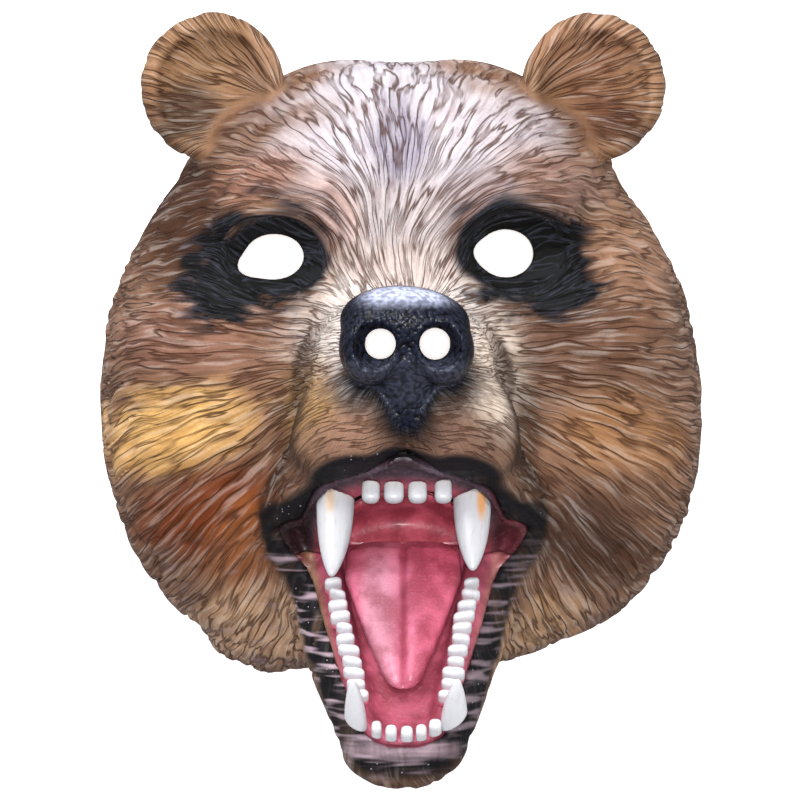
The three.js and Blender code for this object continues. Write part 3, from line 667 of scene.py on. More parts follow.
# Airbrushed zones from the front: centre and half sizes in mm, turn in degrees, colour, strength
FACE_PAINT = dict(
    crown=(-5, 98, 24, 10, 0, (228, 226, 240), 0.85),
    forehead=(-1, 77, 44, 25, 0, (228, 219, 228), 0.95),
    forehead_right=(26, 84, 26, 12, -12, (218, 207, 214), 0.6),
    bridge=(0, 47, 20, 26, 0, (216, 204, 206), 0.95),
    # Painted shade: darker grey-lilac down the furrow in the forehead
    furrow=(-1, 78, 9, 17, 0, (150, 142, 168), 0.75),
    brow_left=(-46, 66, 20, 8, 16, (172, 122, 102), 0.75),
    brow_right=(49, 66, 20, 9, -16, (184, 144, 130), 0.7),
    inner_brow_left=(-22, 56, 9, 14, 30, (226, 190, 182), 0.8),
    inner_brow_right=(23, 58, 9, 13, -30, (172, 148, 150), 0.6),
    temple_left=(-70, 52, 17, 24, 0, (84, 48, 26), 0.92),
    temple_right=(70, 48, 15, 24, 0, (190, 144, 112), 0.7),
    muzzle_top=(0, 20, 37, 25, 0, (255, 244, 238), 1.0),
    nose_root=(0, 39, 18, 10, 0, (222, 202, 196), 0.8),
    muzzle_left=(-29, -4, 11, 16, 0, (200, 156, 98), 0.75),
    muzzle_right=(29, 4, 11, 20, 0, (255, 234, 214), 0.95),
    pad_left=(-16, -14, 17, 9, 8, (186, 142, 118), 0.8),
    pad_right=(16, -14, 16, 9, -8, (152, 114, 96), 0.75),
    beside_muzzle_left=(-44, 12, 11, 24, 0, (166, 120, 96), 0.5),
    beside_muzzle_right=(45, 20, 11, 18, 0, (92, 62, 46), 0.7),
    cheek_left=(-69, 16, 24, 15, 0, (156, 110, 92), 0.7),
    cheek_ochre=(-70, -11, 27, 14, 12, (255, 200, 122), 1.0),
    cheek_orange=(-60, -37, 26, 15, 20, (128, 54, 6), 0.92),
    under_corner_left=(-48, -46, 12, 18, -20, (176, 104, 54), 0.7),
    jowl_left=(-46, -72, 22, 13, 0, (224, 180, 142), 0.85),
    cheek_right=(61, 16, 24, 19, 0, (112, 78, 60), 0.7),
    cheek_tan=(68, -13, 20, 14, -10, (190, 136, 88), 0.75),
    # Painted shade on the lower right cheek
    cheek_right_low_shade=(58, -45, 20, 16, -30, (82, 55, 42), 0.9),
    jowl_right=(40, -74, 20, 9, 24, (208, 164, 122), 0.85),
    # Painted shade in the creases behind the muzzle's sides
    crease_shade_left=(-37, -14, 4, 18, 0, (96, 64, 46), 0.6),
    crease_shade_right=(38, -12, 5, 20, 0, (80, 54, 40), 0.7),
)
EAR_PAINT = dict(
    whole=(0, 96, 200, 60, 0, (172, 130, 96), 1.0),
    # Painted light and shade on the ears: tops lighter, the recesses lower down darker
    left_top_lit=(-62, 106, 18, 12, 0, (200, 156, 116), 0.8),
    left_recess_shade=(-68, 88, 13, 10, 30, (96, 78, 66), 0.85),
    left_inner=(-45, 100, 8, 16, 0, (190, 148, 120), 0.6),
    right_top_lit=(58, 108, 18, 10, 0, (204, 152, 118), 0.7),
    right_low_shade=(66, 86, 14, 10, -30, (88, 50, 36), 0.8),
    right_middle=(60, 97, 14, 12, 0, (150, 100, 70), 0.5),
)
EYE_PAINT = dict(
    left=(-46, 40, 26, 19, 22, (6, 7, 13), 1.0),
    left_outer=(-56, 34, 15, 13, 20, (6, 7, 13), 1.0),
    right=(37, 42, 24, 18, -24, (6, 7, 13), 1.0),
    right_outer=(48, 36, 14, 14, -20, (6, 7, 13), 1.0),
)
EYE_BLACK = (8, 8, 13)
EYE_HAIR = (104, 108, 130)
NOSE_BLACK = (18, 19, 27)
# Painted highlight: pale lilac sheen sprayed on the top of the nose
NOSE_PAINTED_SHEEN = (186, 192, 220)
NOSE_HAZE = (14, 13, 18)
UNDER_NOSE = Sizes(top=8, half=20, taper=1.2, feather=9, edge=(-3, 3), levels=(6, 10), fronts=(84, 92))
# Painted shade: dark brown on the steep sides of the muzzle
CREASE_PAINTED_SHADE = (58, 38, 28)
LIP_BLACK = (22, 20, 24)
# Painted highlight on the crests of the pleats on the lower lip
LIP_PLEAT_HIGHLIGHT = (190, 166, 178)
CHIN_PAINT = dict(
    # roll: painted highlight where the lip roll under the front teeth catches the light
    roll=(-1, -107.5, 18, 3.4, 0, (164, 142, 152), 0.85),
    under_roll=(1, -113, 17, 3.6, 0, (22, 20, 24), 0.7),
)
FUR_DARKEN = (168, 140, 124)
# Pale crests of the fur: dry-brushed paint and partly painted highlight, bluish in the black round the eyes
CREST_DRYBRUSH_AND_HIGHLIGHT = (250, 242, 234)
EYE_CREST_DRYBRUSH_AND_HIGHLIGHT = (186, 198, 244)
GROOVE_BROWN = (72, 44, 30)
# Bluish black of the pebble tops on the nose, made lighter as a painted highlight
PEBBLE_BLACK_AND_HIGHLIGHT = (30, 33, 48)
PEBBLE_GROOVE = (4, 4, 8)
LIP_SPECK = (196, 196, 206)
LEAST_PAINT = 0.004
# How spray fades from its centre, and how ragged the hair makes its edge
SPRAY_FADE = (0.45, 1.3)
EYE_FADE = (0.72, 1.18)
EYE_RIM = Sizes(spray_feather=1.5, feather=5, gaps=(3, 7))
FEATHER = Sizes(wander=0.22, strands=24, rows=2, locks=0.1, lips=1.1, lip_levels=(30, 50))
INSIDE_FROM_LIP = (2.5, 4.0)
EAR_EDGE = (-1.5, 3.5)
EAR_PAINT_FADE = 6
# Painted shade on the steep sides of the muzzle, haze round the nose, creased lip pads and painted highlight
# on the nose, in mm
FLANK_SHADE = Sizes(steep=(0.18, 0.62), sides=(24, 31, 40, 50), levels=(-50, -40, 14, 30), fronts=(40, 60))
FLANK_SHADE_STRENGTH = 0.9
HAZE = Sizes(start=1.5, reach=14, levels=(4, 14), eye_share=0.38)
PADS = Sizes(fronts=(86, 98), levels=(-45, -30, -6, 4), across=13, pitch=1.9)
# Where the painted nose highlight lies: levels and fronts of the top, sides where it fades, a faint band on
# the stem
PAINTED_SHEEN = Sizes(levels=(24, 29), fronts=(102, 112), sides=(8, 17), low=0.06, low_levels=(-6, -2, 7, 12))
PAINTED_SHEEN_FACING = (0.0, 0.4)
PLEAT_HIGHLIGHT_AREA = Sizes(levels=(42, 56), right_share=0.45)
COAT = Sizes(lips=0.9, seam_edge=(0.4, 3))


def linear(colour):
    """Linear light of an sRGB colour given from 0 to 255."""
    share = np.array(colour) / 255
    return np.where(share <= 0.04045, share / 12.92, ((share + 0.055) / 1.055) ** 2.4)


def base_coat(colour, variation):
    return linear(colour) * (1 + variation)[:, None]


def layer(colour, *coats):
    """Lays coats of paint over a colour, each with its colour and share."""
    for coat, share in coats:
        colour = colour + (linear(coat) - colour) * share[:, None]
    return colour


def spray(colour, x, y, zones, feather, where, fade=SPRAY_FADE):
    for zone_x, zone_y, half_x, half_y, turn, coat, strength in zones.values():
        c, s = math.cos(math.radians(turn)), math.sin(math.radians(turn))
        dx, dy = x - zone_x, y - zone_y
        reach = np.hypot((c * dx + s * dy) / half_x, (c * dy - s * dx) / half_y)
        colour = layer(colour, (coat, strength * (1 - ease(reach + feather, *fade)) * where))
    return colour


def set_paint(piece, colour):
    set_colour(piece, "paint", np.clip(colour, LEAST_PAINT, 1))


def fur_paint(x, y, z, feather, ear):
    mottle = blotches(x, y, z, 14, seed=41) + 0.5 * blotches(x, y, z, 6, seed=42)
    colour = base_coat(BASE_FUR, 0.14 * mottle)
    colour = spray(colour, x, y, FACE_PAINT, feather, 1 - ear)
    colour = spray(colour, x, y, EAR_PAINT, feather, ear)
    return colour * (FUR_SHADE * (1 + 0.1 * mottle))[:, None]


def nose_haze(x, y, z, feather):
    """Black sprayed round the nose and down the groove under it."""
    reach = HAZE.reach * (1 + feather)
    haze = (1 - ease(nose(x, y, z), HAZE.start, reach)) * (1 - ease(y, *HAZE.levels))
    half = UNDER_NOSE.half - (UNDER_NOSE.top - y) * UNDER_NOSE.taper
    beside = np.abs(x - NOSE_AXIS.x) - half + UNDER_NOSE.feather * feather
    under = (1 - ease(beside, *UNDER_NOSE.edge)) * (1 - ease(y, *UNDER_NOSE.levels))
    return np.maximum(haze, under * ease(z, *UNDER_NOSE.fronts))


def paint_skin(piece):
    x, y, z = points_of(piece).T
    angle, rows, _, strands = comb(x, y, z)
    across, up = np.cos(angle), np.sin(angle)
    fur = fur_height(angle, rows, strands)
    gradient, slope = slope_of(head, x, y, z)
    facing = gradient[:, 2] / slope
    inside = (1 - outside(x, y, z)) * ease(from_lip(x, y, z), *INSIDE_FROM_LIP)
    bare_nose = on_nose(x, y, z)
    wander = noise(across * FEATHER.strands, up * FEATHER.strands, rows * FEATHER.rows, seed=31)
    feather = FEATHER.wander * wander + FEATHER.locks * (fur - 0.5)
    lips = on_lips(x, y, z) + FEATHER.lips * feather * ease(-y, *FEATHER.lip_levels)
    lips = np.clip(lips, 0, 1)
    ear = ease(head(x, y, z) - ears(x, y, z), *EAR_EDGE) * ease(y, EAR_FOOT_Y, EAR_FOOT_Y + EAR_PAINT_FADE)

    plain = fur_paint(x, y, z, feather, ear)
    colour = spray(plain, x, y, EYE_PAINT, EYE_RIM.spray_feather * feather, 1 - ear, EYE_FADE)
    eye_rim = 1 - ease(eye_gap(x, y) + EYE_RIM.feather * feather, *EYE_RIM.gaps)
    colour = layer(colour, (EYE_BLACK, eye_rim))
    haze = nose_haze(x, y, z, feather)
    eye_dark = np.clip(1 - colour.sum(1) / np.maximum(plain.sum(1), 1e-4), 0, 1)
    eye_dark = np.maximum(eye_dark, HAZE.eye_share * haze)
    # Painted shade: dark brown where the muzzle's sides turn steeply away from the front
    steep = (1 - ease(facing, *FLANK_SHADE.steep)) * ease(z, *FLANK_SHADE.fronts)
    flank = steep * band(np.abs(x), *FLANK_SHADE.sides) * band(y, *FLANK_SHADE.levels)
    colour = layer(
        colour,
        (CREASE_PAINTED_SHADE, FLANK_SHADE_STRENGTH * flank),
        (NOSE_HAZE, haze),
        (NOSE_BLACK, bare_nose),
        (LIP_BLACK, lips),
    )
    colour = spray(colour, x, y, CHIN_PAINT, feather, ease(z, 50, 60))
    set_paint(piece, layer(colour, (INSIDE_LATEX, inside)))

    set_vector(piece, "comb", across, up, rows)
    set_colour(piece, "strands", np.stack(scale_weights(strands), axis=1))
    coat = (1 - bare_nose) * (1 - inside) * (1 - COAT.lips * lips)
    coat = coat * (1 - in_ear_seam(x, y, z, EAR_PROUD, COAT.seam_edge))
    set_vector(piece, "relief", fur, coat, bare_nose)
    set_vector(piece, "parts", lips, inside, eye_dark)
    pads = ease(z, *PADS.fronts) * band(y, *PADS.levels) * (1 - bare_nose)
    set_vector(piece, "folds", x / PADS.across, mouth(x, y, z) / PADS.pitch, pads)
    # Painted highlight on the front-facing top of the nose, and faintly on the stem below the nostrils
    painted_sheen = ease(y + 1.5 * feather, *PAINTED_SHEEN.levels) * ease(z, *PAINTED_SHEEN.fronts)
    painted_sheen = painted_sheen * (1 - ease(np.abs(x - NOSE_AXIS.x), *PAINTED_SHEEN.sides))
    painted_sheen = painted_sheen + PAINTED_SHEEN.low * band(y, *PAINTED_SHEEN.low_levels)
    painted_sheen = painted_sheen * bare_nose * ease(facing, *PAINTED_SHEEN_FACING)
    # Where the painted highlight on the lip pleats goes: the lower lip, stronger on the left
    pleat_highlight_share = lips * ease(-y, *PLEAT_HIGHLIGHT_AREA.levels) * (1 - inside) * np.where(x < 0, 1, PLEAT_HIGHLIGHT_AREA.right_share)
    set_vector(piece, "painted_highlights", painted_sheen, pleat_highlight_share, 0)


# Materials
GRAIN_SCALE = 900.0
GROOVE_GAP_SCALE = 110.0
PEBBLE_SCALE = 820.0
SPECK_SCALE = 520.0
SPECK_CHOICE = 0.8
PLEAT_STRETCH = (60.0, 480.0, 60.0)
PAD_STRENGTH = 0.85
WET_CLOUD_SCALE = 120.0
WET_DARKEN = (196, 170, 172)
WET_LIGHT = (250, 214, 218)
TOOTH_DARKEN = (226, 220, 214)
TOOTH_STREAKS = (900.0, 160.0, 400.0)
COAT_WEIGHT = 0.12


def tone(colour):
    return (*linear(colour).tolist(), 1.0)


class Look:
    """A material and its nodes; methods for sums, patterns and mixes add nodes and give their output."""

    def __init__(self, name):
        self.material = bpy.data.materials.new(name)
        self.material.use_nodes = True
        self.tree = self.material.node_tree
        self.tree.nodes.clear()
        self.shader = self.add("BsdfPrincipled")
        self.add("OutputMaterial", {"Surface": self.shader.outputs["BSDF"]})

    def add(self, kind, inputs=None, **settings):
        node = self.tree.nodes.new(f"ShaderNode{kind}")
        for key, value in settings.items():
            setattr(node, key, value)
        for socket, value in (inputs or {}).items():
            self.connect(value, node.inputs[socket])
        return node

    def connect(self, value, socket):
        if isinstance(value, bpy.types.NodeSocket):
            self.tree.links.new(value, socket)
        else:
            socket.default_value = value

    def set(self, socket, value):
        self.connect(value, self.shader.inputs[socket])

    def calc(self, operation, a, b=0.0, c=0.0):
        return self.add("Math", {0: a, 1: b, 2: c}, operation=operation).outputs[0]

    def times(self, value, *others):
        for other in others:
            value = self.calc("MULTIPLY", value, other)
        return value

    def less(self, a, b):
        return self.calc("SUBTRACT", a, b)

    def more(self, base, value, factor):
        """The base plus a value times a factor."""
        return self.calc("MULTIPLY_ADD", value, factor, base)

    def ramp(self, value, low, high, to_low=0.0, to_high=1.0):
        inputs = {"Value": value, "From Min": low, "From Max": high, "To Min": to_low, "To Max": to_high}
        return self.add("MapRange", inputs, interpolation_type="SMOOTHSTEP").outputs["Result"]

    def mix(self, share, a, b, blend_type="MIX"):
        node = self.add("Mix", data_type="RGBA", blend_type=blend_type)
        for index, value in ((0, share), (6, a), (7, b)):
            self.connect(value, node.inputs[index])
        return node.outputs[2]

    def read(self, name):
        return self.add("Attribute", attribute_name=name).outputs

    def split(self, name):
        return self.add("SeparateXYZ", {0: self.read(name)["Vector"]}).outputs

    def place(self):
        return self.add("TexCoord").outputs["Object"]

    def stretch(self, vector, scales):
        return self.add("VectorMath", {0: vector, 1: scales}, operation="MULTIPLY").outputs[0]

    def noise(self, vector, scale=1.0, detail=2.0, roughness=0.5):
        inputs = {"Vector": vector, "Scale": scale, "Detail": detail, "Roughness": roughness}
        return self.add("TexNoise", inputs).outputs["Fac"]

    def thin_line(self, level, width):
        """0 on the lines where a noise passes its middle, 1 away from them."""
        return self.ramp(self.calc("ABSOLUTE", self.less(level, 0.5)), 0.0, width)

    def bump(self, height, strength, distance):
        inputs = {"Height": height, "Strength": strength, "Distance": distance}
        self.set("Normal", self.add("Bump", inputs).outputs["Normal"])


def hair_pattern(look, fold_x, fold_row, pads):
    """Thin grooves between locks and fine hairs along them; on the lip pads, creases round the mouth."""
    strands, weights = look.read("comb")["Vector"], look.read("strands")
    shares = look.add("SeparateColor", {0: weights["Color"]}).outputs
    lines, hairs = 0.0, 0.0
    for scale, weight in zip(STRAND_SCALES, (*shares, weights["Alpha"])):
        across = 1.2 * scale
        lock = look.noise(look.stretch(strands, (across, across, 0.7)), roughness=0.45)
        lines = look.more(lines, look.thin_line(lock, 0.07), weight)
        across = 2.6 * scale
        hair = look.noise(look.stretch(strands, (across, across, 1.0)), roughness=0.45)
        hairs = look.more(hairs, hair, weight)
    fold = look.noise(look.add("CombineXYZ", {0: fold_x, 1: fold_row}).outputs[0])
    keep = look.times(pads, PAD_STRENGTH)
    hairs = look.more(hairs, look.less(0.5, hairs), keep)
    return look.more(lines, look.less(look.thin_line(fold, 0.06), lines), keep), hairs


def fur_colour(look, place, lines, hairs, eye_dark, coat, fur, grain):
    """The paint with dark grooves, painted shade where the fur relief is low, dry-brushed crests that are
    partly painted highlight and lone pale hairs in the black round the eyes.
    """
    paint = look.read("paint")["Color"]
    broken = look.ramp(look.noise(place, GROOVE_GAP_SCALE, 1.0), 0.36, 0.56, 0.45, 1.0)
    groove = look.times(look.less(1.0, lines), broken, coat)
    # Painted shade where the fur relief is low, in the hollows between the locks
    low = look.times(look.ramp(fur, 0.5, 0.05), coat)
    crest = look.times(look.ramp(hairs, 0.48, 0.66), lines, coat)
    lone_hair = look.times(look.less(1.0, look.thin_line(hairs, 0.05)), coat)
    dark = look.mix(1.0, paint, tone(FUR_DARKEN), "MULTIPLY")
    # Crests lightened: dry-brush paint and partly painted highlight
    light = look.mix(0.42, paint, look.mix(eye_dark, tone(CREST_DRYBRUSH_AND_HIGHLIGHT), tone(EYE_CREST_DRYBRUSH_AND_HIGHLIGHT)))
    colour = look.mix(look.times(low, 0.25), paint, dark)
    colour = look.mix(look.ramp(hairs, 0.5, 0.3, 0.0, 0.35), colour, dark)
    colour = look.mix(look.times(groove, 0.9), colour, tone(GROOVE_BROWN), "DARKEN")
    colour = look.mix(look.times(crest, look.ramp(eye_dark, 0.2, 0.9, 0.32, 0.02)), colour, light)
    lone_hair = look.times(lone_hair, look.ramp(eye_dark, 0.4, 0.9, 0.0, 0.15))
    colour = look.mix(lone_hair, colour, tone(EYE_HAIR))
    return look.mix(look.ramp(grain, 0.35, 0.75, 0.0, 0.16), colour, dark)


def lip_speck(look, place, lips, inside):
    """Pale flecks scattered over the black lips."""
    cells = look.add("TexVoronoi", {"Vector": place, "Scale": SPECK_SCALE}).outputs
    chance = look.add("SeparateColor", {0: cells["Color"]}).outputs[0]
    chosen = look.calc("GREATER_THAN", chance, SPECK_CHOICE)
    return look.times(look.ramp(cells["Distance"], 0.16, 0.08), chosen, lips, look.less(1.0, inside), 0.7)


def skin_look():
    look = Look("moulded_latex_fur")
    fur, coat, bare_nose = look.split("relief")
    lips, inside, eye_dark = look.split("parts")
    painted_sheen, pleat_highlight_share, _ = look.split("painted_highlights")
    place = look.place()
    lines, hairs = hair_pattern(look, *look.split("folds"))
    grain = look.noise(place, GRAIN_SCALE)
    colour = fur_colour(look, place, lines, hairs, eye_dark, coat, fur, grain)
    pebbles = look.add("TexVoronoi", {"Vector": place, "Scale": PEBBLE_SCALE}, feature="SMOOTH_F1")
    pebble_edge = look.ramp(pebbles.outputs["Distance"], 0.2, 0.75)
    # Pebble tops lighter as a painted highlight, black between them
    nose_colour = look.mix(pebble_edge, tone(PEBBLE_BLACK_AND_HIGHLIGHT), tone(PEBBLE_GROOVE))
    # Painted nose highlight, broken up by the pebbles
    painted_sheen = look.times(painted_sheen, look.ramp(pebble_edge, 0.0, 1.0, 1.0, 0.5))
    colour = look.mix(bare_nose, colour, look.mix(painted_sheen, nose_colour, tone(NOSE_PAINTED_SHEEN)))
    pleats = look.noise(look.stretch(place, PLEAT_STRETCH), detail=1.0)
    # Painted highlight on the crests of the lip pleats
    pleat_highlight = look.times(look.ramp(pleats, 0.46, 0.72, 0.0, 0.85), pleat_highlight_share)
    colour = look.mix(pleat_highlight, colour, tone(LIP_PLEAT_HIGHLIGHT))
    look.set("Base Color", look.mix(lip_speck(look, place, lips, inside), colour, tone(LIP_SPECK)))

    rough = look.ramp(lines, 0.0, 1.0, 0.8, 0.64)
    for share, change in ((bare_nose, -0.36), (eye_dark, 0.08), (lips, -0.1), (inside, 0.1)):
        rough = look.more(rough, share, change)
    look.set("Roughness", rough)
    height = look.more(look.times(lines, 0.7), look.less(hairs, 0.5), 0.5)
    height = look.times(height, coat)
    height = look.more(height, look.times(pebble_edge, -0.3), bare_nose)
    height = look.more(height, look.times(pleats, 1.1), lips)
    look.bump(look.more(height, grain, 0.06), 0.8, 0.0011)
    look.set("Specular IOR Level", 0.18)
    return look.material


def wet_look(name, roughness, dot_scale):
    """Painted latex with a wet gloss; the paint is in the mesh."""
    look = Look(name)
    paint = look.read("paint")["Color"]
    place = look.place()
    cloud = look.noise(place, WET_CLOUD_SCALE, 4.0)
    dots = look.noise(place, dot_scale)
    darker = look.mix(1.0, paint, tone(WET_DARKEN), "MULTIPLY")
    lighter = look.mix(0.3, paint, look.mix(0.5, paint, tone(WET_LIGHT)))
    colour = look.mix(look.ramp(cloud, 0.35, 0.7), darker, paint)
    look.set("Base Color", look.mix(look.ramp(dots, 0.55, 0.75, 0.0, 0.3), colour, lighter))
    look.set("Roughness", look.ramp(dots, 0.3, 0.7, roughness + 0.12, roughness))
    look.bump(dots, 0.6, 0.0004)
    look.set("Coat Weight", COAT_WEIGHT)
    look.set("Coat Roughness", 0.2)
    return look.material


def tooth_look():
    look = Look("glossy_tooth")
    paint = look.read("paint")["Color"]
    streaks = look.noise(look.stretch(look.place(), TOOTH_STREAKS), detail=3.0)
    shade = look.mix(1.0, paint, tone(TOOTH_DARKEN), "MULTIPLY")
    look.set("Base Color", look.mix(look.ramp(streaks, 0.5, 0.8, 0.0, 0.6), paint, shade))
    look.set("Roughness", look.ramp(streaks, 0.3, 0.8, 0.34, 0.46))
    look.bump(streaks, 0.35, 0.0003)
    look.set("Coat Weight", COAT_WEIGHT)
    return look.material


# Pieces
def install(piece, material, slot, *nodes):
    piece.data.materials.clear()
    piece.data.materials.append(material)
    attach(piece, "root")
    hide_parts(*nodes)


def carve(name, form, low, high, cell):
    points, quads = surface(form, low, high, cell)
    return new_object(name, settle(form, points, reach=cell), quads)


# Linings of the mouth
MOUTH_BOX = ((-50, -122, 36), (50, 4, 128))
MOUTH_CELL = 1.0
LINING_RECESS = 0.8
LINING_ROUND = 1.6
AIR_ROUND = 1.0
PARTING_ROUND = 0.6
GUM_COVER = 3.2
CREASES = Sizes(depth=0.35, sizes=(5, 2.6, 4), sides=(22, 32))
FLANGE = Sizes(reach=3.0, from_wall=1.0, depth=2.0, blend=0.6)
# Strip on the back of the floor that closes the parting behind the palate
STRIP = Sizes(thick=2.4, half=2.4, root=0.8)
# Palate colours; left and right are painted shade in the mouth's corners
PALATE_PAINT = Sizes(
    gum=(198, 86, 106), ridge=(172, 84, 100), front=(74, 56, 70), left=(44, 20, 26), right=(96, 38, 48),
    lip=(18, 13, 15),
)
JAW_PAINT = Sizes(
    gum=(178, 82, 106), gum_line=(150, 112, 86), side=(140, 88, 100), throat=(120, 44, 60), lip=(50, 42, 48),
)
GUM_MOTTLE = 0.12


def parting(y, z):
    """Distance over the plane that parts the palate from the floor of the mouth."""
    turn = math.radians(90 - (LOWER[1] + UPPER[1]) / 2)
    return math.cos(turn) * (y - MOUTH_BACK[1]) + math.sin(turn) * (z - MOUTH_BACK[2])


def lining(x, y, z):
    pocket = grown(mouth, LINING)(x, y, z)
    depth = head(x, y, z)
    limit = np.minimum(depth + LINING_RECESS, upper_ridge(x, y, z) - GUM_COVER)
    wall = meet(pocket, limit, LINING_ROUND)
    behind = depth + WALL + FLANGE.from_wall
    flange = np.maximum(np.maximum(pocket - FLANGE.reach, behind), -behind - FLANGE.depth)
    wall = join(wall, flange, FLANGE.blend)
    long, high, deep = CREASES.sizes
    creases = CREASES.depth * noise(x / long, y / high, z / deep, seed=51) * ease(np.abs(x), *CREASES.sides)
    return meet(wall, -(air(x, y, z) + creases), AIR_ROUND)


def palate_form(x, y, z):
    return meet(lining(x, y, z), GAP / 2 - parting(y, z), PARTING_ROUND)


def floor_form(x, y, z):
    over = parting(y, z)
    floor = meet(lining(x, y, z), GAP / 2 + over, PARTING_ROUND)
    pocket = grown(mouth, LINING)(x, y, z)
    strip = np.maximum(pocket - STRIP.thick, np.abs(over) - STRIP.half)
    strip = np.maximum(strip, np.where(over < 0, -STRIP.root, GAP) - pocket)
    return np.minimum(floor, np.maximum(strip, head(x, y, z) + WALL + FLANGE.from_wall))


def make_palate(material):
    piece = carve("gum_palate", palate_form, *MOUTH_BOX, MOUTH_CELL)
    x, y, z = points_of(piece).T
    arch = arch_size(x, z)
    ridge = 1 - ease(upper_ridge(x, y, z), 0.3, 4)
    lip_height = in_jaw(UPPER, y, z)[0] + 0.12 * (z - UPPER[0][2])
    colour = layer(
        base_coat(PALATE_PAINT.gum, GUM_MOTTLE * blotches(x, y, z, 6, seed=61)),
        (PALATE_PAINT.ridge, 0.6 * ridge),
        (PALATE_PAINT.front, ease(arch, 0.98, 1.12)),
        # Painted shade in the mouth's deep corners, reddish on the right
        (PALATE_PAINT.left, ease(-x, 23, 31)),
        (PALATE_PAINT.right, ease(x, 23, 31)),
        (PALATE_PAINT.lip, ease(lip_height, 0, 6) * ease(arch, 0.92, 1.05)),
    )
    set_paint(piece, colour)
    install(piece, material, "gum", "palate")


def make_jaw_lining(material):
    piece = carve("jaw_floor", floor_form, *MOUTH_BOX, MOUTH_CELL)
    x, y, z = points_of(piece).T
    height, along = in_jaw(LOWER, y, z)
    outward = beyond_row(x, along)
    mottle = blotches(x, y, z, 6, seed=62) + 0.5 * blotches(x, y, z, 2.5, seed=63)
    left = x < 0
    colour = layer(
        base_coat(JAW_PAINT.gum, GUM_MOTTLE * mottle),
        (JAW_PAINT.gum_line, ease(outward, 2.5, 5) * np.where(left, 1.0, 0.5)),
        (JAW_PAINT.side, ease(outward, 6, 10) * np.where(left, 0.85, 0.6)),
        (JAW_PAINT.throat, 0.7 * ease(outward, 5, 9) * (1 - ease(along, 18, 40))),
        (JAW_PAINT.lip, ease(height + 0.35 * mottle, 11, 19)),
    )
    set_paint(piece, colour)
    install(piece, material, "gum", "jaw_lining")


# Tongue sections: distance along the jaw, half width, lowest and highest point over the floor
TONGUE_ALONG = (0, 3, 8, 18, 30, 42, 51, 56, 60)
TONGUE_HALF = (11, 13, 17.5, 17.8, 14, 9.8, 6.4, 4, 3)
TONGUE_LOW = (2, 1.5, 0.5, 0.3, 0.3, 0.5, 2, 4, 5)
TONGUE_HIGH = (4, 6, 9.5, 11, 10.6, 10.4, 10, 9, 8)
TONGUE_FLATNESS = 0.7
TONGUE_BACK = 3
TONGUE_TIP = 57
TONGUE_BOX = ((-22, -105, 48), (22, -38, 98))
TONGUE_CELL = 0.7 * MOUTH_CELL
# Groove down the middle: depth and half width in mm, then depth and share of the width of its soft sides
TONGUE_GROOVE = Sizes(depth=1.3, half=0.9, side_depth=0.7, side_share=0.4)
TONGUE_VEINS = Sizes(height=0.25, across=3.2, along=9)
TONGUE_PAINT = Sizes(
    flesh=(222, 118, 148), left=(232, 166, 188), right=(206, 88, 116), groove=(150, 56, 78),
    root=(170, 62, 84),
)


def tongue_form(x, y, z):
    height, along = in_jaw(LOWER, y, z)
    columns = (TONGUE_HALF, TONGUE_LOW, TONGUE_HIGH)
    half, low, high = (np.interp(along, TONGUE_ALONG, column) for column in columns)
    middle, thick = (low + high) / 2, (high - low) / 2
    across = x / half
    groove = TONGUE_GROOVE.depth * bell(x, 0, TONGUE_GROOVE.half)
    groove = groove + TONGUE_GROOVE.side_depth * bell(across, 0, TONGUE_GROOVE.side_share)
    veins = noise(x / TONGUE_VEINS.across, along / TONGUE_VEINS.along, height / TONGUE_VEINS.along, seed=71)
    sunk = groove + TONGUE_VEINS.height * veins
    lift = (height - middle + np.where(height > middle, sunk, 0)) / thick
    size = np.sqrt(across**2 + np.abs(lift) ** (2 / TONGUE_FLATNESS))
    body = (size - 1) * np.minimum(half, thick)
    body = meet(meet(body, along - TONGUE_TIP, 4), TONGUE_BACK - along, 2)
    return np.maximum(body, air(x, y, z) + GAP)


def make_tongue(material):
    piece = carve("bear_tongue", tongue_form, *TONGUE_BOX, TONGUE_CELL)
    x, y, z = points_of(piece).T
    _, along = in_jaw(LOWER, y, z)
    colour = layer(
        base_coat(TONGUE_PAINT.flesh, 0.1 * noise(x / 5, y / 8, z / 8, seed=72)),
        (TONGUE_PAINT.left, 0.8 * ease(-x, -2, 7) * (1 - ease(np.abs(x), 10, 15))),
        (TONGUE_PAINT.right, 0.6 * ease(x, 2, 9)),
        (TONGUE_PAINT.groove, 0.6 * bell(x, 0, 0.8)),
        (TONGUE_PAINT.root, 0.7 * (1 - ease(along, 6, 22))),
    )
    set_paint(piece, colour)
    install(piece, material, "tongue", "tongue")


# Teeth in their jaw's frame: x and along on the gum, root and tip heights, width, depth, lean of the tip
FANGS = dict(
    upper_fang_left=(UPPER, -20.4, 32.5, 0, -32, 11.5, 9.5, (-1, 2)),
    upper_fang_right=(UPPER, 20.8, 32.5, 0, -30, 11.5, 9.5, (0, 2)),
    lower_fang_left=(LOWER, -14.2, 71, 2, 29, 7, 8, (-1, -4)),
    lower_fang_right=(LOWER, 15.2, 71, 2, 29, 8.4, 8, (1, -4)),
)
# Front teeth: x and along on the gum, width
UPPER_INCISORS = ((-9.7, 42, 5.6), (-2.8, 42, 6.2), (4.3, 42, 5.9), (12, 42, 5.4))
LOWER_INCISORS = ((-8, 74, 3.2), (-3.6, 75.4, 3.6), (1.1, 75.8, 3.8), (5.4, 75.2, 3.4), (9.6, 73.4, 4))
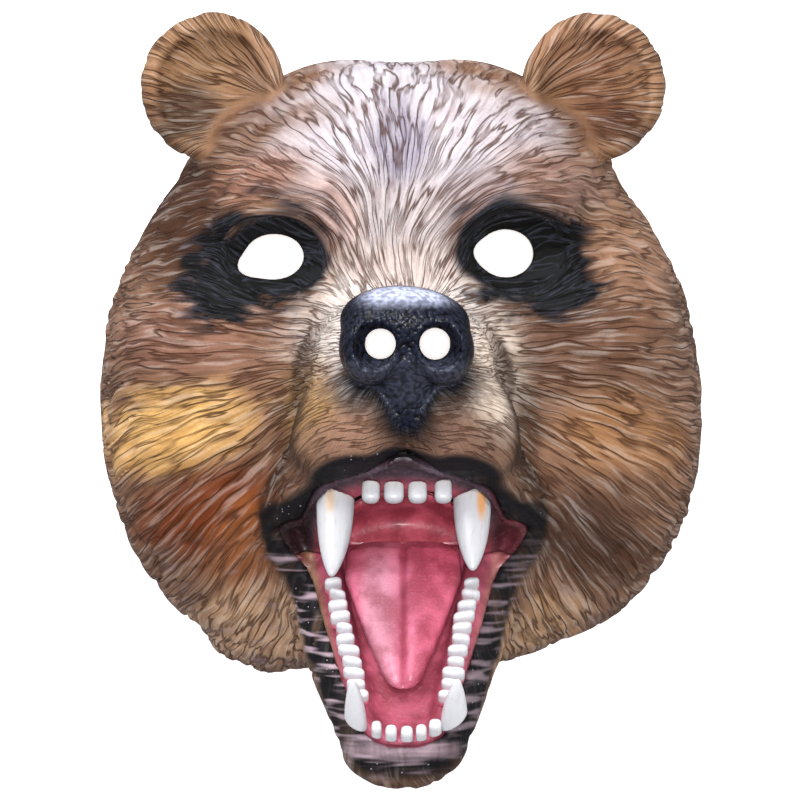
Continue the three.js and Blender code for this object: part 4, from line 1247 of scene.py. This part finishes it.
# Both rows of front teeth, with their root and tip heights and depth
INCISOR_ROWS = (
    ("upper", UPPER, UPPER_INCISORS, (1, -11, 4.5)),
    ("lower", LOWER, LOWER_INCISORS, (1.5, 15, 4)),
)
CHEEK_ROW = Sizes(
    count=11, first=21.5, pitch=4, width=5.8, neck=4.4, bar=2.8, low=3, base=7, top=12.5,
    bar_share=0.94, width_share=0.88, widening=0.3,
)
CHEEK_ROUND = Sizes(sides=1.7, top=1.8, neck=1.0, base=1.5, blend=0.4, lift=0.6)
# How far the cheek teeth wander from an even row
CHEEK_WANDER = Sizes(along=0.7, turn=0.4, across=0.7, height=1.2, bar=0.2, width=0.3)
CHEEK_BOX = ((8, -116, 56), (30, -52, 108))
TOOTH_CELL = 0.55
FANG = Sizes(power=2.2, round=1.0, cell=TOOTH_CELL, taper=0.94, curve=2.7, bulge=0.8)
INCISOR = Sizes(power=2.8, round=2.4, cell=0.8 * TOOTH_CELL, neck=0.16, edge=0.06)
TOOTH_SLOPE = 0.9
SEAT_ROUND = 0.5
TOOTH_MARGIN = Sizes(x=2.5, yz=2)
TOOTH_WHITE = (184, 184, 189)
# Lower teeth painted whiter as painted light, since they face down away from the lamps
LOWER_TOOTH_LIT_WHITE = (216, 216, 221)
ROOT_PINK = (214, 112, 134)
ROOT_STAIN = (214, 190, 168)
PINK_FADE = 2.2
# Ochre stains on the teeth from the front: centre, half sizes, colour, strength
STAINS = (
    (-22.0, -32.5, 2.2, 6.0, (196, 160, 122), 0.75),
    (23.6, -33.0, 2.2, 7.5, (204, 140, 72), 0.9),
    (18.2, -103.0, 2.4, 5.0, (214, 178, 96), 0.8),
    (-15.2, -103.5, 2.0, 3.5, (216, 190, 130), 0.45),
)


def over_gum(x, y, z, jaw):
    """Air moved a gap's width off the gum that a tooth stands on."""
    turn = math.radians(jaw[1])
    lift = GAP if jaw is LOWER else -GAP
    return air(x, y - lift * math.sin(turn), z - lift * math.cos(turn))


def tooth_form(jaw, tooth_x, tooth_along, root, tip, width, depth, lean, kind):
    def form(x, y, z):
        height, along = in_jaw(jaw, y, z)
        share = (height - root) / (tip - root)
        inner = np.clip(share, 0, 1)
        if kind is FANG:
            size = (1 - FANG.taper * inner**FANG.curve) ** FANG.bulge
        else:
            size = 1 - INCISOR.neck * (1 - inner) ** 2 - INCISOR.edge * inner**4
        dx = np.abs(x - tooth_x - lean[0] * inner**2) / (width / 2)
        da = np.abs(along - tooth_along - lean[1] * inner**2) / (depth / 2)
        around = (dx**kind.power + da**kind.power) ** (1 / kind.power)
        flank = (around - size) * min(width, depth) / 2 * TOOTH_SLOPE
        ends = (np.abs(share - 0.5) - 0.5) * abs(tip - root)
        return meet(meet(flank, ends, kind.round), over_gum(x, y, z, jaw), SEAT_ROUND)

    return form


def tooth_box(jaw, tooth_x, along, root, tip, width, depth):
    turn = math.radians(jaw[1])
    reach = width / 2 + TOOTH_MARGIN.x
    ends = []
    for height in (root, tip):
        for offset in (-depth, depth):
            y = jaw[0][1] + math.sin(turn) * height - math.cos(turn) * (along + offset)
            z = jaw[0][2] + math.cos(turn) * height + math.sin(turn) * (along + offset)
            ends.append((y, z))
    low, high = np.min(ends, axis=0) - TOOTH_MARGIN.yz, np.max(ends, axis=0) + TOOTH_MARGIN.yz
    return (tooth_x - reach, *low), (tooth_x + reach, *high)


def cheek_row_form(side):
    row, wander, soft = CHEEK_ROW, CHEEK_WANDER, CHEEK_ROUND

    def form(x, y, z):
        height, along = in_jaw(LOWER, y, z)
        across = x - side * (LOWER_RIDGE.radius + (LOWER_RIDGE.round - along) * LOWER_RIDGE.spread)
        index = np.clip(np.round((along - row.first) / row.pitch), 0, row.count - 1)
        zero = np.zeros_like(index)
        shift, slant, growth = (scramble(index, zero + k, zero, 81 + side) - 0.5 for k in range(3))
        sway = wander.along * shift + wander.turn * slant * across
        beside = np.abs(along - row.first - index * row.pitch - sway)
        bar = row.bar / 2 * (row.bar_share + wander.bar * growth)
        share = row.width_share + row.widening * index / row.count
        wide = row.width / 2 * (share + wander.width * growth)
        tooth = meet(beside - bar, np.abs(across - wander.across * slant) - wide, soft.sides)
        tooth = meet(tooth, height - row.top - wander.height * shift, soft.top)
        span = (row.count - 1) * row.pitch / 2
        strip = np.abs(along - row.first - span) - span - row.bar / 4
        neck = meet(strip, np.abs(across) - row.neck / 2, soft.neck)
        neck = meet(neck, height - row.base - soft.lift, soft.base)
        body = np.maximum(join(tooth, neck, soft.blend), row.low - height)
        return meet(body, over_gum(x, y, z, LOWER), SEAT_ROUND)

    return form


def finish_tooth(piece, jaw, material, node, pink_to=None):
    """Paints and installs a tooth; the root is pink up to a height where one is given."""
    x, y, z = points_of(piece).T
    height, _ = in_jaw(jaw, y, z)
    # The lower teeth are painted whiter as painted light; they face away from the lamps
    white = LOWER_TOOTH_LIT_WHITE if jaw is LOWER else TOOTH_WHITE
    root = 1 - ease(np.abs(height), 2, 8)
    colour = layer(base_coat(white, np.zeros_like(x)), (ROOT_STAIN, 0.35 * root))
    for stain_x, stain_y, half_x, half_y, stain, strength in STAINS:
        reach = np.hypot((x - stain_x) / half_x, (y - stain_y) / half_y)
        colour = layer(colour, (stain, strength * (1 - ease(reach, 0.2, 1.0))))
    if pink_to is not None:
        colour = layer(colour, (ROOT_PINK, 1 - ease(height, pink_to, pink_to + PINK_FADE)))
    set_paint(piece, colour)
    install(piece, material, "tooth", node)


def make_teeth(material):
    def make_tooth(node, kind, lean, *sizes):
        form = tooth_form(*sizes, lean, kind)
        piece = carve(f"{node}_enamel", form, *tooth_box(*sizes), kind.cell)
        finish_tooth(piece, sizes[0], material, node)

    for node, (*sizes, lean) in FANGS.items():
        make_tooth(node, FANG, lean, *sizes)
    for level, jaw, incisors, (root, tip, depth) in INCISOR_ROWS:
        for i, (x, along, width) in enumerate(incisors, 1):
            make_tooth(f"{level}_incisor_{i}", INCISOR, (0, 0), jaw, x, along, root, tip, width, depth)
    for name, side in (("left", -1), ("right", 1)):
        node = f"cheek_teeth_{name}"
        low, high = CHEEK_BOX
        if side < 0:
            low, high = (-high[0], *low[1:]), (-low[0], *high[1:])
        piece = carve(f"{node}_enamel", cheek_row_form(side), low, high, TOOTH_CELL)
        finish_tooth(piece, LOWER, material, node, CHEEK_ROW.base)


skin = make_skin()
paint_skin(skin)
install(skin, skin_look(), "skin", "face_skin")
wet_gum = wet_look("wet_gum", 0.46, 700.0)
make_palate(wet_gum)
make_jaw_lining(wet_gum)
make_tongue(wet_look("wet_tongue", 0.3, 1400.0))
make_teeth(tooth_look())

# Stage, in metres: floor, lights and a camera straight over the face, as in the photograph
CAMERA_PLACE = (-0.00096, -0.00224, 1.6)
CAMERA_LENS = 225.0
SENSOR = 36.0
VIEW_END = 20.0
FLOOR_REACH = 6.0
FLOOR_Z = -0.0002
FLOOR_WHITE = (246, 246, 248)
FLOOR_GLOW = 0.5
MASK_MIDDLE = (0, 0, 0.04)
SKY = (0.95, 0.97, 1.0, 1.0)
SKY_STRENGTH = 0.2
# Disk lights: place, size, power in watts, what they point at
LIGHTS = dict(
    softbox_top=((-0.4, 1.0, 0.62), 0.8, 13.0, MASK_MIDDLE),
    softbox_right=((0.95, 0.25, 0.9), 0.7, 3.0, MASK_MIDDLE),
    front_light=((*CAMERA_PLACE[:2], 1.7), 0.07, 18.0, (0, 0, 0)),
    key_light=((-0.06, 0.42, 1.62), 0.3, 12.0, MASK_MIDDLE),
)


def make_floor():
    mesh = bpy.data.meshes.new("floor")
    corners = [(i * FLOOR_REACH, j * FLOOR_REACH, 0) for i, j in ((-1, -1), (1, -1), (1, 1), (-1, 1))]
    mesh.from_pydata(corners, [], [(0, 1, 2, 3)])
    floor = bpy.data.objects.new("floor", mesh)
    floor.location.z = FLOOR_Z
    bpy.context.scene.collection.objects.link(floor)
    look = Look("pale_floor")
    look.set("Base Color", tone(FLOOR_WHITE))
    look.set("Roughness", 0.8)
    look.set("Specular IOR Level", 0.1)
    look.set("Emission Color", (1.0, 1.0, 1.0, 1.0))
    look.set("Emission Strength", FLOOR_GLOW)
    mesh.materials.append(look.material)
    floor.visible_glossy = False


def make_light(name, place, size, power, aim):
    data = bpy.data.lights.new(name, "AREA")
    data.shape = "DISK"
    data.size = size
    data.energy = power
    light = bpy.data.objects.new(name, data)
    light.location = place
    light.rotation_euler = (Vector(aim) - Vector(place)).to_track_quat("-Z", "Y").to_euler()
    bpy.context.scene.collection.objects.link(light)


def make_stage():
    scene = bpy.context.scene
    make_floor()
    for name, sizes in LIGHTS.items():
        make_light(name, *sizes)
    world = bpy.data.worlds.new("studio")
    scene.world = world
    world.use_nodes = True
    background = world.node_tree.nodes["Background"]
    background.inputs["Color"].default_value = SKY
    background.inputs["Strength"].default_value = SKY_STRENGTH
    scene.view_settings.view_transform = "Standard"
    data = bpy.data.cameras.new("camera")
    data.sensor_width = SENSOR
    data.lens = CAMERA_LENS
    data.clip_end = VIEW_END
    camera = bpy.data.objects.new("camera", data)
    camera.location = CAMERA_PLACE
    scene.collection.objects.link(camera)
    scene.camera = camera


make_stage()
bpy.context.view_layer.update()
